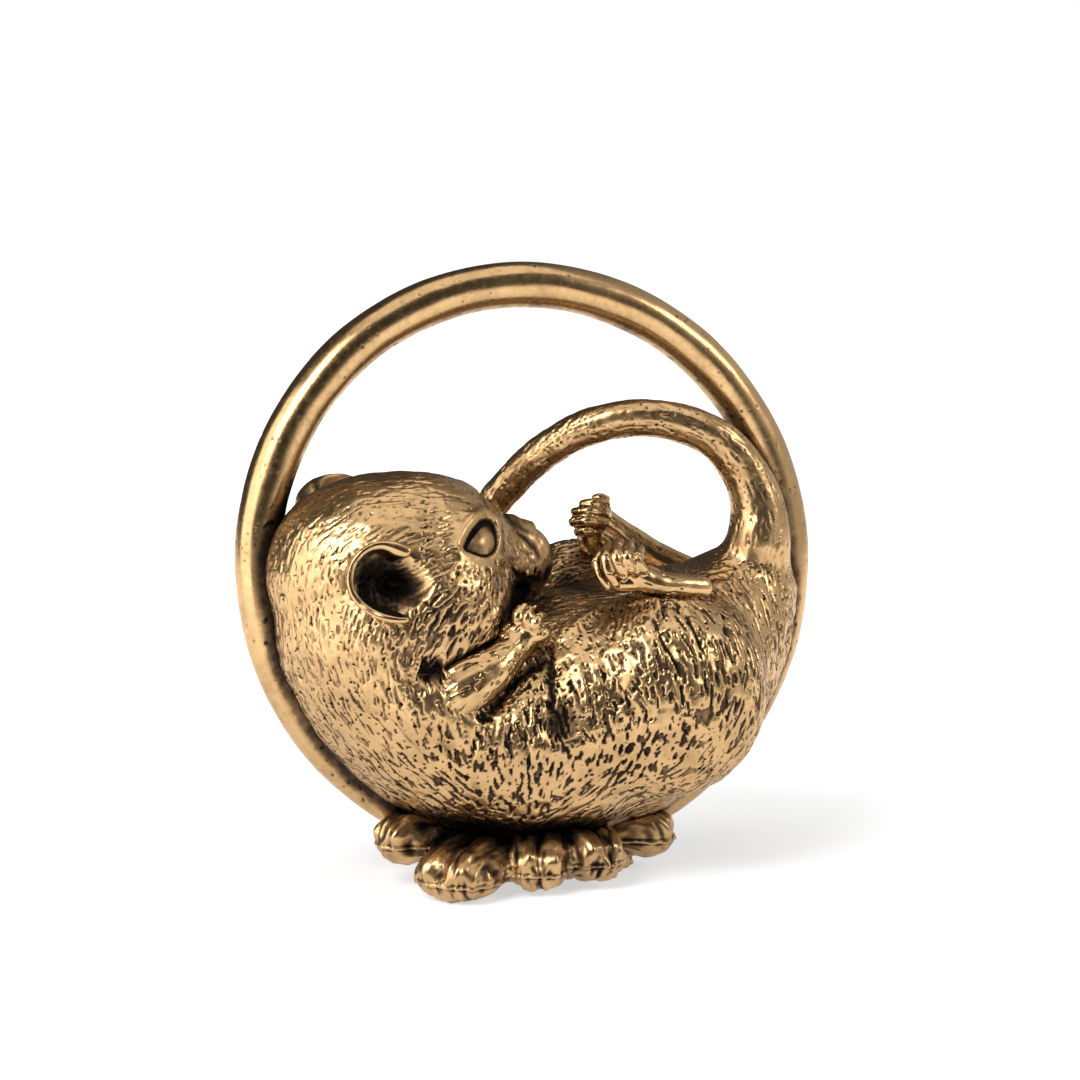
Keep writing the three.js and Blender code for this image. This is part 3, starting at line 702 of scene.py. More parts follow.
def cells(values, share):
    """Cut cells of a random field: 0 on the metal left standing, 1 in a cut, with steep edges."""
    level = np.interp(share, CUT_SHARES, CUT_LEVELS)
    edge = np.clip((values - level) / CUT_EDGE + 0.5, 0, 1)
    return edge * edge * (3 - 2 * edge)


trial = cells(uneven(points_of(coat), 0.5), 0.25)
print(f"trial: a share of 0.25 cuts {trial.mean():.2f} of the coat")

# %% [markdown]
# ## Strokes, locks and dots
# Three layers make the fur. Strokes are the single cuts of the tool, locks are the wider swells that
# they lie on, and dots are the small pits of a casting. The share of strokes wavers from patch to
# patch, as it does under a hand, and deep strokes are darker than shallow ones.

# %% Fur on the skin
FUR_PATCH = 2.4
PATCH_SEED, STROKE_SEED, LOCK_SEED, DOT_SEED = 5.0, 11.0, 23.0, 31.0
DOT_SIZE, DOT_SHARE, DOT_DEPTH = 0.36, 0.05, 0.09
LOCK_LENGTH, LOCK_WIDTH, LOCK_HEIGHT = 1.8, 2.4, 0.8


def cut_fur(points, bare):
    """Height of the fur over the skin at every point, and how dark it makes it."""
    weights = guide_weights(points)
    share, _, _, depth = (weights @ guide_traits).T
    furry = 1 - bare
    patchy = np.clip(1 + 0.7 * uneven(points, FUR_PATCH, PATCH_SEED), 0.4, 1.4)
    strokes = cells(stretched(points, weights, 1.0, 1.0, STROKE_SEED), share * patchy) * furry
    locks = stretched(points, weights, LOCK_LENGTH, LOCK_WIDTH, LOCK_SEED) * furry
    dots = cells(uneven(points, DOT_SIZE, DOT_SEED), DOT_SHARE) * furry * np.clip(depth / 0.09, 0.3, 1)
    height = -depth * strokes + LOCK_HEIGHT * depth * locks - DOT_DEPTH * dots
    tone = np.clip(5.5 * (depth - 0.05), 0.06, 0.65)
    return height, tone * strokes + 0.55 * dots


print(f"strokes: {guide_traits[:, 3].min():.2f} to {guide_traits[:, 3].max():.2f} mm deep")

# %% [markdown]
# ## Drawn lines
# The larger creases and ridges are drawn on the photograph as lines of pixels. Each line is laid on
# the skin by rays and then pressed in or raised with a soft round section, like a modelling tool
# drawn through wax. A row gives the pixels, the width and the height, below zero for a crease.


# %% Lines and dents on the skin
def trace(pixels, mirror=None):
    """A line drawn on the photograph, as close points on the skin."""
    pixels = np.array(pixels, float)
    steps = np.linalg.norm(np.diff(pixels, axis=0), axis=1)
    run = np.r_[0, np.cumsum(steps)]
    stops = np.linspace(0, run[-1], int(run[-1]) + 2)
    spots = zip(np.interp(stops, run, pixels[:, 0]), np.interp(stops, run, pixels[:, 1]))
    hits = [on_coat(spot)[0] for spot in spots]
    return np.array([mirror(hit) if mirror else hit for hit in hits if hit is not None])


def beside(points, line):
    """Distance of each point to a line of close points, and how far along the line that is."""
    best, along = np.full(len(points), np.inf), np.zeros(len(points))
    for index, place in enumerate(line):
        apart = ((points - place) ** 2).sum(1)
        closer = apart < best
        best[closer] = apart[closer]
        along[closer] = index / max(1, len(line) - 1)
    return np.sqrt(best), along


def near_line(points, line, reach):
    return np.flatnonzero(((points > line.min(0) - reach) & (points < line.max(0) + reach)).all(1))


def line_mark(points, line, width, height):
    raised = np.zeros(len(points))
    near = near_line(points, line, 3 * width)
    apart, along = beside(points[near], line)
    ends = np.clip(np.minimum(along, 1 - along) * 5, 0, 1)
    raised[near] = height * np.exp(-((apart / width) ** 2)) * np.sqrt(ends)
    return raised


def drawn(points, rows, *mirrors):
    """Height of all drawn lines at every point, once as drawn and once for each mirror."""
    raised = np.zeros(len(points))
    for pixels, width, height in rows:
        for mirror in mirrors:
            line = trace(pixels, mirror)
            if len(line) > 1:
                raised += line_mark(points, line, width, height)
    return raised


def dents(points, rows, *mirrors):
    """Height of round dents and swellings; a row gives the pixel, the radius and the height."""
    raised = np.zeros(len(points))
    for pixel, radius, height in rows:
        for mirror in mirrors:
            place = on_coat(pixel)[0]
            centre = np.array(mirror(place) if mirror else place)
            apart = np.linalg.norm(points - centre, axis=1) / radius
            raised += height * np.clip(1 - apart**2, 0, 1) ** 2
    return raised


print(f"trial: a line of 40 pixels has {len(trace([(400, 690), (440, 690)]))} points on the skin")

# %% [markdown]
# ## Shelter
# Patina stays where nothing rubs it off: under the chin, along the hoop, between the leaf and the
# belly. Short rays from a point of the skin tell how sheltered it is. This is worked out on a
# coarse mesh of the whole ornament and looked up from there.

# %% Shelter from short rays
SHELTER_RAYS = 40
SHELTER_REACH = 7.0
SHELTER_VOXEL, SHELTER_SMOOTHING = 0.8, 2
RAY_LIFT = 0.3
LOWEST_RAY = 0.15


def point_tree(points):
    tree = KDTree(len(points))
    for index, point in enumerate(points):
        tree.insert(point, index)
    tree.balance()
    return tree


def sphere_ways(count):
    turn = np.arange(count) * math.pi * (3 - math.sqrt(5))
    rise = 1 - 2 * (np.arange(count) + 0.5) / count
    flat = np.sqrt(1 - rise**2)
    return np.stack([flat * np.cos(turn), flat * np.sin(turn), rise], 1)


def shelter_map():
    """Share of short rays from each point of a coarse mesh that meet the ornament."""
    names = [name for name in nodes if "dowel" not in name]
    mesh = worked(copy_of(*names), SHELTER_VOXEL, SHELTER_SMOOTHING, subdivide=False)
    tree = tree_of(mesh)
    points, normals = points_of(mesh), normals_of(mesh)
    ways = sphere_ways(SHELTER_RAYS)
    shelter = np.zeros(len(points))
    for index, (point, normal) in enumerate(zip(points, normals)):
        start = Vector(point + normal * RAY_LIFT)
        outward = ways[ways @ normal > LOWEST_RAY]
        met = [tree.ray_cast(start, way, SHELTER_REACH)[3] for way in outward]
        shelter[index] = np.mean([0 if reach is None else 1 - reach / SHELTER_REACH for reach in met])
    return point_tree(points), shelter


shelter_tree, shelter_values = shelter_map()
print(f"shelter: {len(shelter_values)} points, mean {shelter_values.mean():.2f}")

# %% [markdown]
# ## Dips of the skin
# A point lies in a dip when it is below the mean of the points round it. A few rounds of averaging
# find fine dips, such as a cut, and many rounds find broad ones, such as the hollow of a cheek.


# %% Dips, and shelter looked up
def neighbour_mean(mesh, values, rounds):
    """Values averaged with those of the neighbouring points, over and over."""
    ends = np.empty(len(mesh.edges) * 2, np.int32)
    mesh.edges.foreach_get("vertices", ends)
    one, other = ends[::2], ends[1::2]
    count = len(mesh.vertices)
    share = np.bincount(one, minlength=count) + np.bincount(other, minlength=count) + 1.0
    for _ in range(rounds):
        total = values + np.bincount(one, values[other], count) + np.bincount(other, values[one], count)
        values = total / share
    return values


def hollowness(mesh, rounds):
    """How far each point lies below the mean of the points round it, in millimetres."""
    points = points_of(mesh)
    mean = np.stack([neighbour_mean(mesh, points[:, k], rounds) for k in range(3)], 1)
    return ((mean - points) * normals_of(mesh)).sum(1)


def shelter_of(mesh):
    nearest = [shelter_tree.find(point)[1] for point in points_of(mesh).tolist()]
    return neighbour_mean(mesh, shelter_values[nearest], 8)


print(f"rough coat: dips of up to {hollowness(coat, 5).max():.2f} mm")

# %% [markdown]
# ## Finishing a piece
# A finished mesh is taken to its place on the table, gets its hollow values as a point attribute
# and its material, rides on the part's one body and stands for the solid that it was made from.


# %% From mesh to piece
def finish_piece(name, mesh, solids, material, patina_and_shade):
    mesh.name = name
    mesh.transform(to_world)
    attribute = mesh.attributes.new("patina_and_shade", "FLOAT", "POINT")
    attribute.data.foreach_set("value", np.clip(patina_and_shade, 0, 1.2).astype(np.float32))
    mesh.materials.clear()
    mesh.materials.append(material)
    mesh.shade_smooth()
    piece = bpy.data.objects.new(name, mesh)
    bpy.context.scene.collection.objects.link(piece)
    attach(piece, "root")
    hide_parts(*solids)
    triangles = sum(len(face.vertices) - 2 for face in mesh.polygons)
    print(f"{name}: {triangles} triangles")


# %% [markdown]
# ## How dark a point is
# Three things add up to the patina_and_shade value: what is painted on for a piece, the fine and the
# broad dips of its skin, and the shelter round it. What is painted holds painted shade in places. No
# cloth reaches the joint between the animal and the hoop, so old patina lies along it, and the same
# band is painted shade in the crevice there.

# %% Patina
JOINT_REACH, JOINT_FADE = 1.7, 1.2
FINE_DIP, FINE_SHARE = 0.035, 0.13
BROAD_DIP, BROAD_SHARE = 0.2, 0.26
OPEN_SHELTER, SHELTER_SHARE = 0.07, 1.7


def hoop_joint(points):
    """Old patina and painted shade along the hoop: 1 where the skin meets the rod, 0 a little way off."""
    off = np.hypot(np.hypot(points[:, 0], points[:, 2]) - hoop_radius, points[:, 1]) - ROD / 2
    return np.clip((JOINT_REACH - off) / JOINT_FADE, 0, 1)


def patina(mesh, painted, dips=1.0):
    """How dark each point is: what is painted, the dips of the skin and the shelter round it."""
    fine = hollowness(mesh, 5) / FINE_DIP
    broad = hollowness(mesh, 40) / BROAD_DIP
    shelter = np.clip(shelter_of(mesh) - OPEN_SHELTER, 0, 1)
    dipped = FINE_SHARE * np.clip(fine, -0.7, 1.4) + BROAD_SHARE * np.clip(broad, -0.6, 1.3)
    return painted + dips * dipped + SHELTER_SHARE * shelter


print(f"by the hoop: {(hoop_joint(points_of(coat)) > 0).mean():.0%} of the coat")

# %% [markdown]
# ## Face
# The eye is a low dome in a dark teardrop socket under a smooth bright brow. A crease runs from the
# brow to the bridge of the nose, the nose is a polished plate, and the muzzle hangs over the dark
# gap to the paws. The cheek ends in a rim above that gap.

# %% Lines and dents of the face
FACE_LINES = [
    ([(473, 481), (480, 494), (487, 505), (497, 518)], 0.4, -0.22),
    ([(479, 483), (487, 495), (494, 505), (503, 516)], 0.3, 0.15),
    ([(506, 517), (519, 523), (533, 532)], 1.2, 0.3),
    ([(502, 526), (505, 542), (503, 558)], 0.5, -0.22),
    ([(516, 531), (526, 538), (535, 547), (542, 560)], 0.4, -0.2),
    ([(527, 532), (539, 541), (546, 551), (546, 560)], 0.5, 0.16),
    ([(512, 566), (518, 574), (530, 581), (541, 577)], 0.35, -0.3),
    ([(500, 554), (508, 568), (505, 588), (497, 610), (484, 632)], 0.45, 0.3),
    ([(507, 539), (514, 546), (518, 556)], 0.25, -0.12),
    ([(508, 554), (514, 557), (521, 556)], 0.25, 0.12),
    ([(523, 548), (530, 556), (533, 566)], 0.25, -0.12),
    ([(459, 551), (447, 548)], 0.3, 0.2),
]
FACE_DENTS = [
    ((525, 575), 0.45, -0.45), ((531, 578), 0.42, -0.45), ((536, 571), 0.42, -0.45),
    ((540, 574), 0.4, -0.4), ((489, 569), 0.4, -0.25), ((497, 563), 0.36, -0.25),
    ((492, 577), 0.4, -0.25), ((503, 567), 0.36, -0.25), ((549, 574), 1.4, -0.4),
    # The deep dent at pixel (520, 597) is the gap under the chin; the darkness its depth gives it is
    # painted shade.
    ((520, 597), 2.2, -1.6), (NOSE_PIXEL, 3.0, 0.26), ((440, 484), 6.5, 0.3),
]
NOSE_PLATE = [(522, 527), (538, 537), (547, 550), (547, 561)]
# A dark line painted down the gap under the chin: painted shade.
THROAT_PAINTED_SHADE = [(516, 578), (516, 592), (510, 606), (500, 626)]
MOUTH = [(513, 574), (524, 580), (536, 580), (544, 574)]
# Round patches of painted shade, each a pixel, a radius and a darkness: between ear and eye, below the
# ear, on the crown and on the cheek. The last, wide patch has a darkness below zero and is painted light
# over the side of the head.
FACE_PAINTED_SHADE = [
    ((430, 527), 3.8, 0.32), ((425, 604), 3.4, 0.38), ((458, 498), 3.0, 0.15), ((447, 618), 3.0, 0.2),
    ((400, 570), 13.0, -0.12),
]
print(f"face: {len(FACE_LINES)} lines and {len(FACE_DENTS)} dents on each side")

# %% [markdown]
# ## Eyes
# A closed line drawn round the eye tells inside from outside. Inside it the skin is pressed in for
# the socket and raised again for the ball, with a thin lid along the lower edge, and outside it the
# brow swells. All of that is a matter of the distance to the line.
# One side of the ball is painted darker than the other, as painted shade.

# %% Eyes
EYE_LOOP = [
    (462, 550), (467, 537), (474, 526), (481, 519), (490, 517), (498, 526), (500, 540), (498, 552),
    (490, 558), (478, 556), (468, 552), (462, 550),
]
EYE_BALL = (484, 541)
EYE_ROUNDING = 6
BROW_HEIGHT = 0.42
SOCKET_DEPTH = 0.5
LID_HEIGHT = 0.25
BALL_HEIGHT = 0.55
SOCKET_DARK = 0.85


def signed_loop(points, line, normal):
    """Distance to a closed line on the skin, below zero inside it."""
    apart, _ = beside(points, line)
    middle = line.mean(0)
    across = np.array(Vector(normal).orthogonal().normalized())
    up = np.cross(normal, across)
    px, py = (points - middle) @ across, (points - middle) @ up
    lx, ly = (line - middle) @ across, (line - middle) @ up
    inside = np.zeros(len(points), bool)
    for x1, y1, x2, y2 in zip(lx, ly, np.roll(lx, -1), np.roll(ly, -1)):
        if y1 != y2:
            cross = ((y1 > py) != (y2 > py)) & (px < (x2 - x1) * (py - y1) / (y2 - y1) + x1)
            inside ^= cross
    return np.where(inside, -apart, apart)


def rounded(line, reach):
    """A closed line with its corners rounded: each point is the mean of its neighbours."""
    return np.mean([np.roll(line, k, axis=0) for k in range(-reach, reach + 1)], axis=0)


def eye_height(points, mirror=None):
    """Height of brow, socket and eyeball, their darkness with painted shade on the ball, and where no fur
    is cut.
    """
    raised, dark, bare = (np.zeros(len(points)) for _ in range(3))
    line = rounded(trace(EYE_LOOP, mirror), EYE_ROUNDING)
    ball, normal = on_coat(EYE_BALL)
    up, right = image_way(-0.5, -0.85, normal), image_way(1.0, 0.0, normal)
    long, cross = image_way(0.8, -0.6, normal), image_way(0.6, 0.8, normal)
    if mirror:
        ball = mirror(ball)
        normal, up, right = (mirror(way, False) for way in (normal, up, right))
        long, cross = mirror(long, False), mirror(cross, False)
    near = near_line(points, line, 2.5)
    side = signed_loop(points[near], line, normal)
    offset = points[near] - np.array(ball)
    top = np.clip(0.45 + 0.4 * (offset @ np.array(up)), 0, 1)
    brow = BROW_HEIGHT * top * np.exp(-(((side - 0.65) / 0.65) ** 2))
    socket = -SOCKET_DEPTH * np.clip((0.05 - side) / 0.25, 0, 1)
    lid = LID_HEIGHT * (1 - top) * np.exp(-(((side + 0.22) / 0.12) ** 2))
    inside = np.clip((-side - 0.26 - 0.24 * top) / 0.14, 0, 1)
    oval = (offset @ np.array(long) / 2.5) ** 2 + (offset @ np.array(cross) / 2.0) ** 2
    raised[near] = brow + socket + inside * (BALL_HEIGHT - 0.6 * oval) + lid
    ring = np.clip(-side / 0.15, 0, 1) * (1 - inside)
    # One side of the ball is painted darker than the other: painted shade.
    shade = np.clip(0.34 - 0.45 * (offset @ np.array(right)), 0.0, 0.6) * inside
    dark[near] = SOCKET_DARK * ring + shade - 0.6 * lid - 0.35 * brow
    bare[near] = np.clip((1.4 - side) / 0.4, 0, 1)
    return raised, dark, bare


print(f"eye: {len(trace(EYE_LOOP))} points round it")

# %% [markdown]
# ## The whole face
# Lines, dents and eyes are added up on both sides of the head. Creases and dents also get darker
# with their depth. Round the eyes and on the plate of the nose no fur is cut, and a dark edge sets
# the plate off.
# Painted shade lies down the gap under the chin and in round patches on the face, and one wide patch of
# painted light lies over the side of the head.


# %% Face
def face_height(points):
    """Height of the whole face, how dark it is, and where no fur is cut."""
    raised = drawn(points, FACE_LINES, None, head_mirror)
    pressed = dents(points, FACE_DENTS, None, head_mirror)
    dark = np.clip(-1.3 * raised, 0, 1) + np.clip(-1.2 * pressed, 0, 1)
    raised += pressed
    # Painted shade down the gap under the chin and in round patches on the face; the mouth line is dark.
    dark += drawn(points, [(THROAT_PAINTED_SHADE, 1.0, 0.8), (MOUTH, 0.8, 0.7)], None, head_mirror)
    dark += dents(points, FACE_PAINTED_SHADE, None, head_mirror)
    bare = np.zeros(len(points))
    for mirror in (None, head_mirror):
        eye, socket, brow = eye_height(points, mirror)
        raised += eye
        # The eye's darkness, with the painted shade on one side of the ball.
        dark += socket
        plate = trace(NOSE_PLATE, mirror)
        near = near_line(points, plate, 3)
        apart = beside(points[near], plate)[0]
        bare[near] = np.maximum(bare[near], np.clip((2.3 - apart) / 0.8, 0, 1))
        dark[near] += 0.3 * np.clip((3 - apart) / 0.8, 0, 1) * np.clip((apart - 0.5) / 0.3, 0, 1)
        bare = np.maximum(bare, brow)
    return raised, dark, bare


print(f"nose plate: {len(trace(NOSE_PLATE))} points along it")

# %% [markdown]
# ## Ears
# Each ear is a thin shell over a dark bowl in the head, open to the front, where the ear canal lies.
# The near ear's place is read off the photograph, and the far one is its mirror image, set a little
# further back. The floor of the bowl rises to the front, so that the cheek runs into it without an
# edge.

# %% Place of the ears, and the bowl under them
EAR_PIXEL = (388, 581)
EAR_FACING = Vector((0.16, -0.92, 0.30)).normalized()
EAR_RIM = 4.0
FAR_EAR_BACK = 0.8
BOWL_DEPTH, BOWL_RADIUS = 1.9, 3.55
CANAL = (1.7, 0.5)
CANAL_DEPTH = 2.4


def ear_frame(side):
    """Middle of the ear on the skin, the way it faces, the way to its open front and the third."""
    middle = on_coat(EAR_PIXEL)[0]
    facing = HEAD_TURN @ EAR_FACING
    front = HEAD_TURN @ Vector((1, 0, 0))
    front = (front - facing * front.dot(facing)).normalized()
    up = front.cross(facing)
    if side > 0:
        facing, front, up = (head_mirror(way, False) for way in (facing, front, up))
        middle = head_mirror(middle) - front * FAR_EAR_BACK
    return middle, facing, front, up


def ear_bowl(points, side):
    """Depth of bowl and canal under an ear, how dark they are, and the way to press them in."""
    middle, facing, front, up = (np.array(v) for v in ear_frame(side))
    offset = points - middle
    height, across, rise = offset @ facing, offset @ front, offset @ up
    here = np.abs(height) < 3.5
    ahead = np.clip(across / 3.6, 0, 1)
    far = np.hypot(np.where(across > 0, across * 0.86, across), rise * (1 + 0.35 * ahead))
    bowl = -BOWL_DEPTH * np.clip(1 - (far / BOWL_RADIUS) ** 2, 0, 1) * (1 - 0.75 * ahead)
    canal = np.exp(-(((across - CANAL[0]) / 1.35) ** 2) - ((rise - CANAL[1]) / 1.15) ** 2)
    dark = 0.56 * np.clip((3.5 - far) / 0.5, 0, 1) * (1 - 0.6 * ahead) + 0.8 * canal
    return np.where(here, bowl - CANAL_DEPTH * canal, 0), np.where(here, dark, 0), facing


print("near ear in the hoop's frame, mm:", [round(c, 1) for c in ear_frame(-1)[0]])

# %% [markdown]
# ## Coat
# Torso, head and tail are brazed together and chased over as one, so no joint shows. They are worked
# as one fused mesh, and every face keeps the number of its section: the solid that it lies nearest
# to, with the torso in quarters and the head in halves. The root of the tail is smoothed a lot, so
# that it runs into the rump.

# %% Sections of the coat
SECTIONS = {
    "torso_near_chest": "torso", "torso_near_rump": "torso", "torso_far_chest": "torso",
    "torso_far_rump": "torso", "head_near": "head", "head_far": "head", "tail_coat": "tail",
}
RUMP_START = 2.0
TAIL_ROOT = (762, 550)
ROOT_REACH, ROOT_FADE, ROOT_ROUNDS = 7.5, 4, 45
ROOT_INSIDE, ROOT_SWELL = 2.0, 0.25
COAT_VOXEL, COAT_SMOOTHING = 0.3, 20


def distances(points, solid):
    tree = tree_of(through_modifiers(copy_of(solid)))
    return np.array([tree.find_nearest(point)[3] for point in points.tolist()])


def section_numbers(mesh):
    """The section that each face belongs to, as its number in the table."""
    centres = np.empty(len(mesh.polygons) * 3)
    mesh.polygons.foreach_get("center", centres)
    centres = centres.reshape(-1, 3)
    solid = np.argmin([distances(centres, name) for name in ("torso", "head", "tail")], axis=0)
    torso = 2 * (centres[:, 1] >= BODY_MIDDLE) + (centres[:, 0] >= RUMP_START)
    beyond = (centres - np.array(HEAD_MIDDLE)) @ np.array(HEAD_TURN.col[1]) >= 0
    return np.choose(solid, [torso, 4 + beyond, np.full(len(centres), 6)])


def blend_root(mesh):
    """Lets the root of the tail run into the rump: a lot of smoothing round one place."""
    points = points_of(mesh)
    centre = np.array(on_coat(TAIL_ROOT)[0]) + np.array([0, ROOT_INSIDE, 0])
    apart = np.linalg.norm(points - centre, axis=1)
    near = np.clip((ROOT_REACH - apart) / ROOT_FADE, 0, 1)[:, None]
    soft = np.stack([neighbour_mean(mesh, points[:, k], ROOT_ROUNDS) for k in range(3)], 1)
    move_points(mesh, points + near * (soft - points + ROOT_SWELL * normals_of(mesh)))


def whole_coat(voxel, smoothing):
    """The coat on an even mesh, subdivided once, with its section number on every face."""
    mesh = worked(copy_of(*coat_names, grow=GROW), voxel, smoothing, subdivide=False)
    blend_root(mesh)
    numbers = mesh.attributes.new("section", "INT", "FACE")
    numbers.data.foreach_set("value", section_numbers(mesh).astype(np.int32))
    bm = bmesh.new()
    bm.from_mesh(mesh)
    return through_modifiers(bm, ("SUBSURF", {"levels": 1, "render_levels": 1}))


coat_mesh = whole_coat(COAT_VOXEL, COAT_SMOOTHING)
section_of = np.empty(len(coat_mesh.polygons), np.int32)
coat_mesh.attributes["section"].data.foreach_get("value", section_of)
print("faces by section:", np.bincount(section_of).tolist())

# %% [markdown]
# ## Modelling and chasing the coat
# First the large forms: creases between arm, chest and haunch, the face and the ear bowls. Then the
# cut fur over all of it. Both also say how dark the patina lies there, and the face adds its painted
# shade. Drawn lines add painted shade under the belly above the leaf and under the hind feet, a band
# of old patina and painted shade runs along the hoop, and the arch of the tail is painted a little
# darker.

# %% Creases of the body
BODY_LINES = [
    ([(547, 642), (550, 670), (554, 700), (563, 742)], 2.1, -0.6),
    ([(547, 642), (550, 668), (552, 690), (554, 712)], 0.35, -0.3),
    ([(546, 652), (524, 668), (510, 683), (501, 696), (492, 711), (478, 721)], 0.7, -0.7),
    ([(419, 668), (431, 672), (446, 668)], 1.2, -1.2),
    ([(440, 672), (462, 664), (480, 655), (499, 642)], 0.6, -0.8),
    ([(404, 733), (426, 716), (452, 702)], 2.6, 0.6),
    ([(556, 634), (575, 625), (602, 608), (650, 601), (712, 598)], 0.8, 0.35),
    ([(620, 594), (655, 597), (690, 598), (716, 600)], 0.5, -0.5),
    ([(698, 632), (702, 660), (704, 690)], 0.45, -0.22),
    ([(722, 607), (727, 630), (729, 660)], 0.4, -0.2),
    ([(668, 644), (676, 665), (680, 690), (681, 708)], 0.45, -0.22),
    ([(617, 690), (628, 705), (638, 724)], 0.45, -0.22),
    ([(655, 612), (664, 640), (672, 655)], 0.4, -0.15),
    ([(742, 606), (748, 635), (748, 668)], 0.4, -0.18),
    ([(600, 668), (613, 690), (620, 712)], 0.4, -0.18),
    ([(497, 716), (492, 740), (493, 760)], 0.4, -0.22),
    ([(512, 706), (508, 735), (508, 758)], 0.35, -0.2),
    ([(527, 712), (526, 740), (530, 765)], 0.35, -0.2),
    ([(484, 724), (474, 745), (470, 765)], 0.4, -0.22),
]
# Lines of painted shade, each its pixels, width and darkness: under the belly above the leaf and under
# the hind feet. The last one darkens the arch of the tail a little.
BODY_PAINTED_SHADE = [
    ([(385, 800), (420, 814), (470, 825), (530, 829), (590, 825), (640, 811)], 1.5, 0.6),
    ([(560, 560), (566, 575), (580, 590), (612, 596)], 1.6, 0.4),
    ([(758, 515), (746, 478), (718, 445), (680, 425), (638, 419), (590, 428), (548, 449)], 2.4, 0.2),
]
BODY_DENTS = [((563, 724), 3.2, -0.45), ((446, 750), 1.9, -0.3), ((556, 606), 3.0, -0.3)]

coat_points, coat_normals = points_of(coat_mesh), normals_of(coat_mesh)
coat_height, coat_dark, coat_bare = face_height(coat_points)
creases = drawn(coat_points, BODY_LINES, None, body_mirror)
hollows = dents(coat_points, BODY_DENTS, None, body_mirror)
wax = 0.09 * uneven(coat_points, 2.6) + 0.04 * uneven(coat_points, 1.1)
fur_height, fur_dark = cut_fur(coat_points, coat_bare)
coat_height += creases + hollows + wax + fur_height
# Painted shade from the drawn lines, and old patina with painted shade along the hoop.
coat_dark += drawn(coat_points, BODY_PAINTED_SHADE, None, body_mirror) + 0.8 * hoop_joint(coat_points)
coat_dark += np.clip(-0.65 * creases, 0, 0.8) + np.clip(-0.8 * hollows, 0, 0.5) + fur_dark
coat_points = coat_points + coat_normals * coat_height[:, None]
for side in (-1, 1):
    bowl, shade, facing = ear_bowl(coat_points, side)
    coat_points = coat_points + facing * bowl[:, None]
    coat_dark = np.maximum(coat_dark * (1 - 0.5 * np.clip(shade, 0, 1)), shade)
move_points(coat_mesh, coat_points)
coat_patina_and_shade = patina(coat_mesh, coat_dark)
print(f"coat: {len(coat_points)} points, fur cut up to {-fur_height.min():.2f} mm")

# %% [markdown]
# ## Taking the coat apart
# The finished coat is cut along its sections, so that each piece stands for its own solid. Every
# section keeps the points of the whole coat, and so no seam shows. The cut edges are closed with a
# fan of faces inside the metal. The torso's fans run to one point in its core, and those of head and
# tail to the middle of their edge.


# %% Sections into pieces
def rim_loops(bm):
    """The cut edges, as one list for each closed loop."""
    left = {edge for edge in bm.edges if edge.is_boundary}
    loops = []
    while left:
        loop, waiting = [], [left.pop()]
        while waiting:
            edge = waiting.pop()
            loop.append(edge)
            joined = {e for vert in edge.verts for e in vert.link_edges} & left
            left -= joined
            waiting += joined
        loops.append(loop)
    return loops


def close_inside(mesh, inner=None):
    """Closes each loop of cut edges with a fan of faces to an inner point or to its own middle."""
    bm = bmesh.new()
    bm.from_mesh(mesh)
    for loop in rim_loops(bm):
        places = [vert.co for edge in loop for vert in edge.verts]
        middle = bm.verts.new(inner or sum(places, Vector()) / len(places))
        for edge in loop:
            bm.faces.new((*edge.verts, middle))
            edge.smooth = False
    bmesh.ops.recalc_face_normals(bm, faces=bm.faces)
    bm.to_mesh(mesh)
    bm.free()


TORSO_CORE = Vector((RUMP_START, BODY_MIDDLE, -12.5))
corners = np.empty(len(coat_mesh.loops), np.int32)
coat_mesh.loops.foreach_get("vertex_index", corners)
corners = corners.reshape(-1, 4)
for number, (name, solid) in enumerate(SECTIONS.items()):
    used, renumbered = np.unique(corners[section_of == number], return_inverse=True)
    mesh = bpy.data.meshes.new(name)
    mesh.from_pydata(coat_points[used].tolist(), [], renumbered.reshape(-1, 4).tolist())
    close_inside(mesh, TORSO_CORE if solid == "torso" else None)
    patina_and_shade = np.r_[coat_patina_and_shade[used], np.zeros(len(mesh.vertices) - len(used))]
    finish_piece(name, mesh, [solid], fur_bronze, patina_and_shade)

# %% [markdown]
# ## Ear shells
# The shell is drawn as a section, up the outside, over the rolled rim and down the inside, and the
# section is carried round the ear's axis. It stands highest at the back and sinks into the skin at
# the front, where the ear is open. The upper front of the rim is folded over and so twice as broad.
# The far ear stands taller than the near one.

# %% Section of an ear
EAR_ROLL = 12
EAR_WALL = 0.37
EAR_GAP_MIDDLE = 0.14
EAR_GAP = 0.97
EAR_STANDS = {-1: (0.5, 1.2), 1: (0.6, 2.8)}


def skin_height(place, facing):
    """Height of the coat under a place, along the way the ear faces."""
    hit = coat_tree.ray_cast(place + facing * 6, -facing)[0]
    return (hit - place).dot(facing)


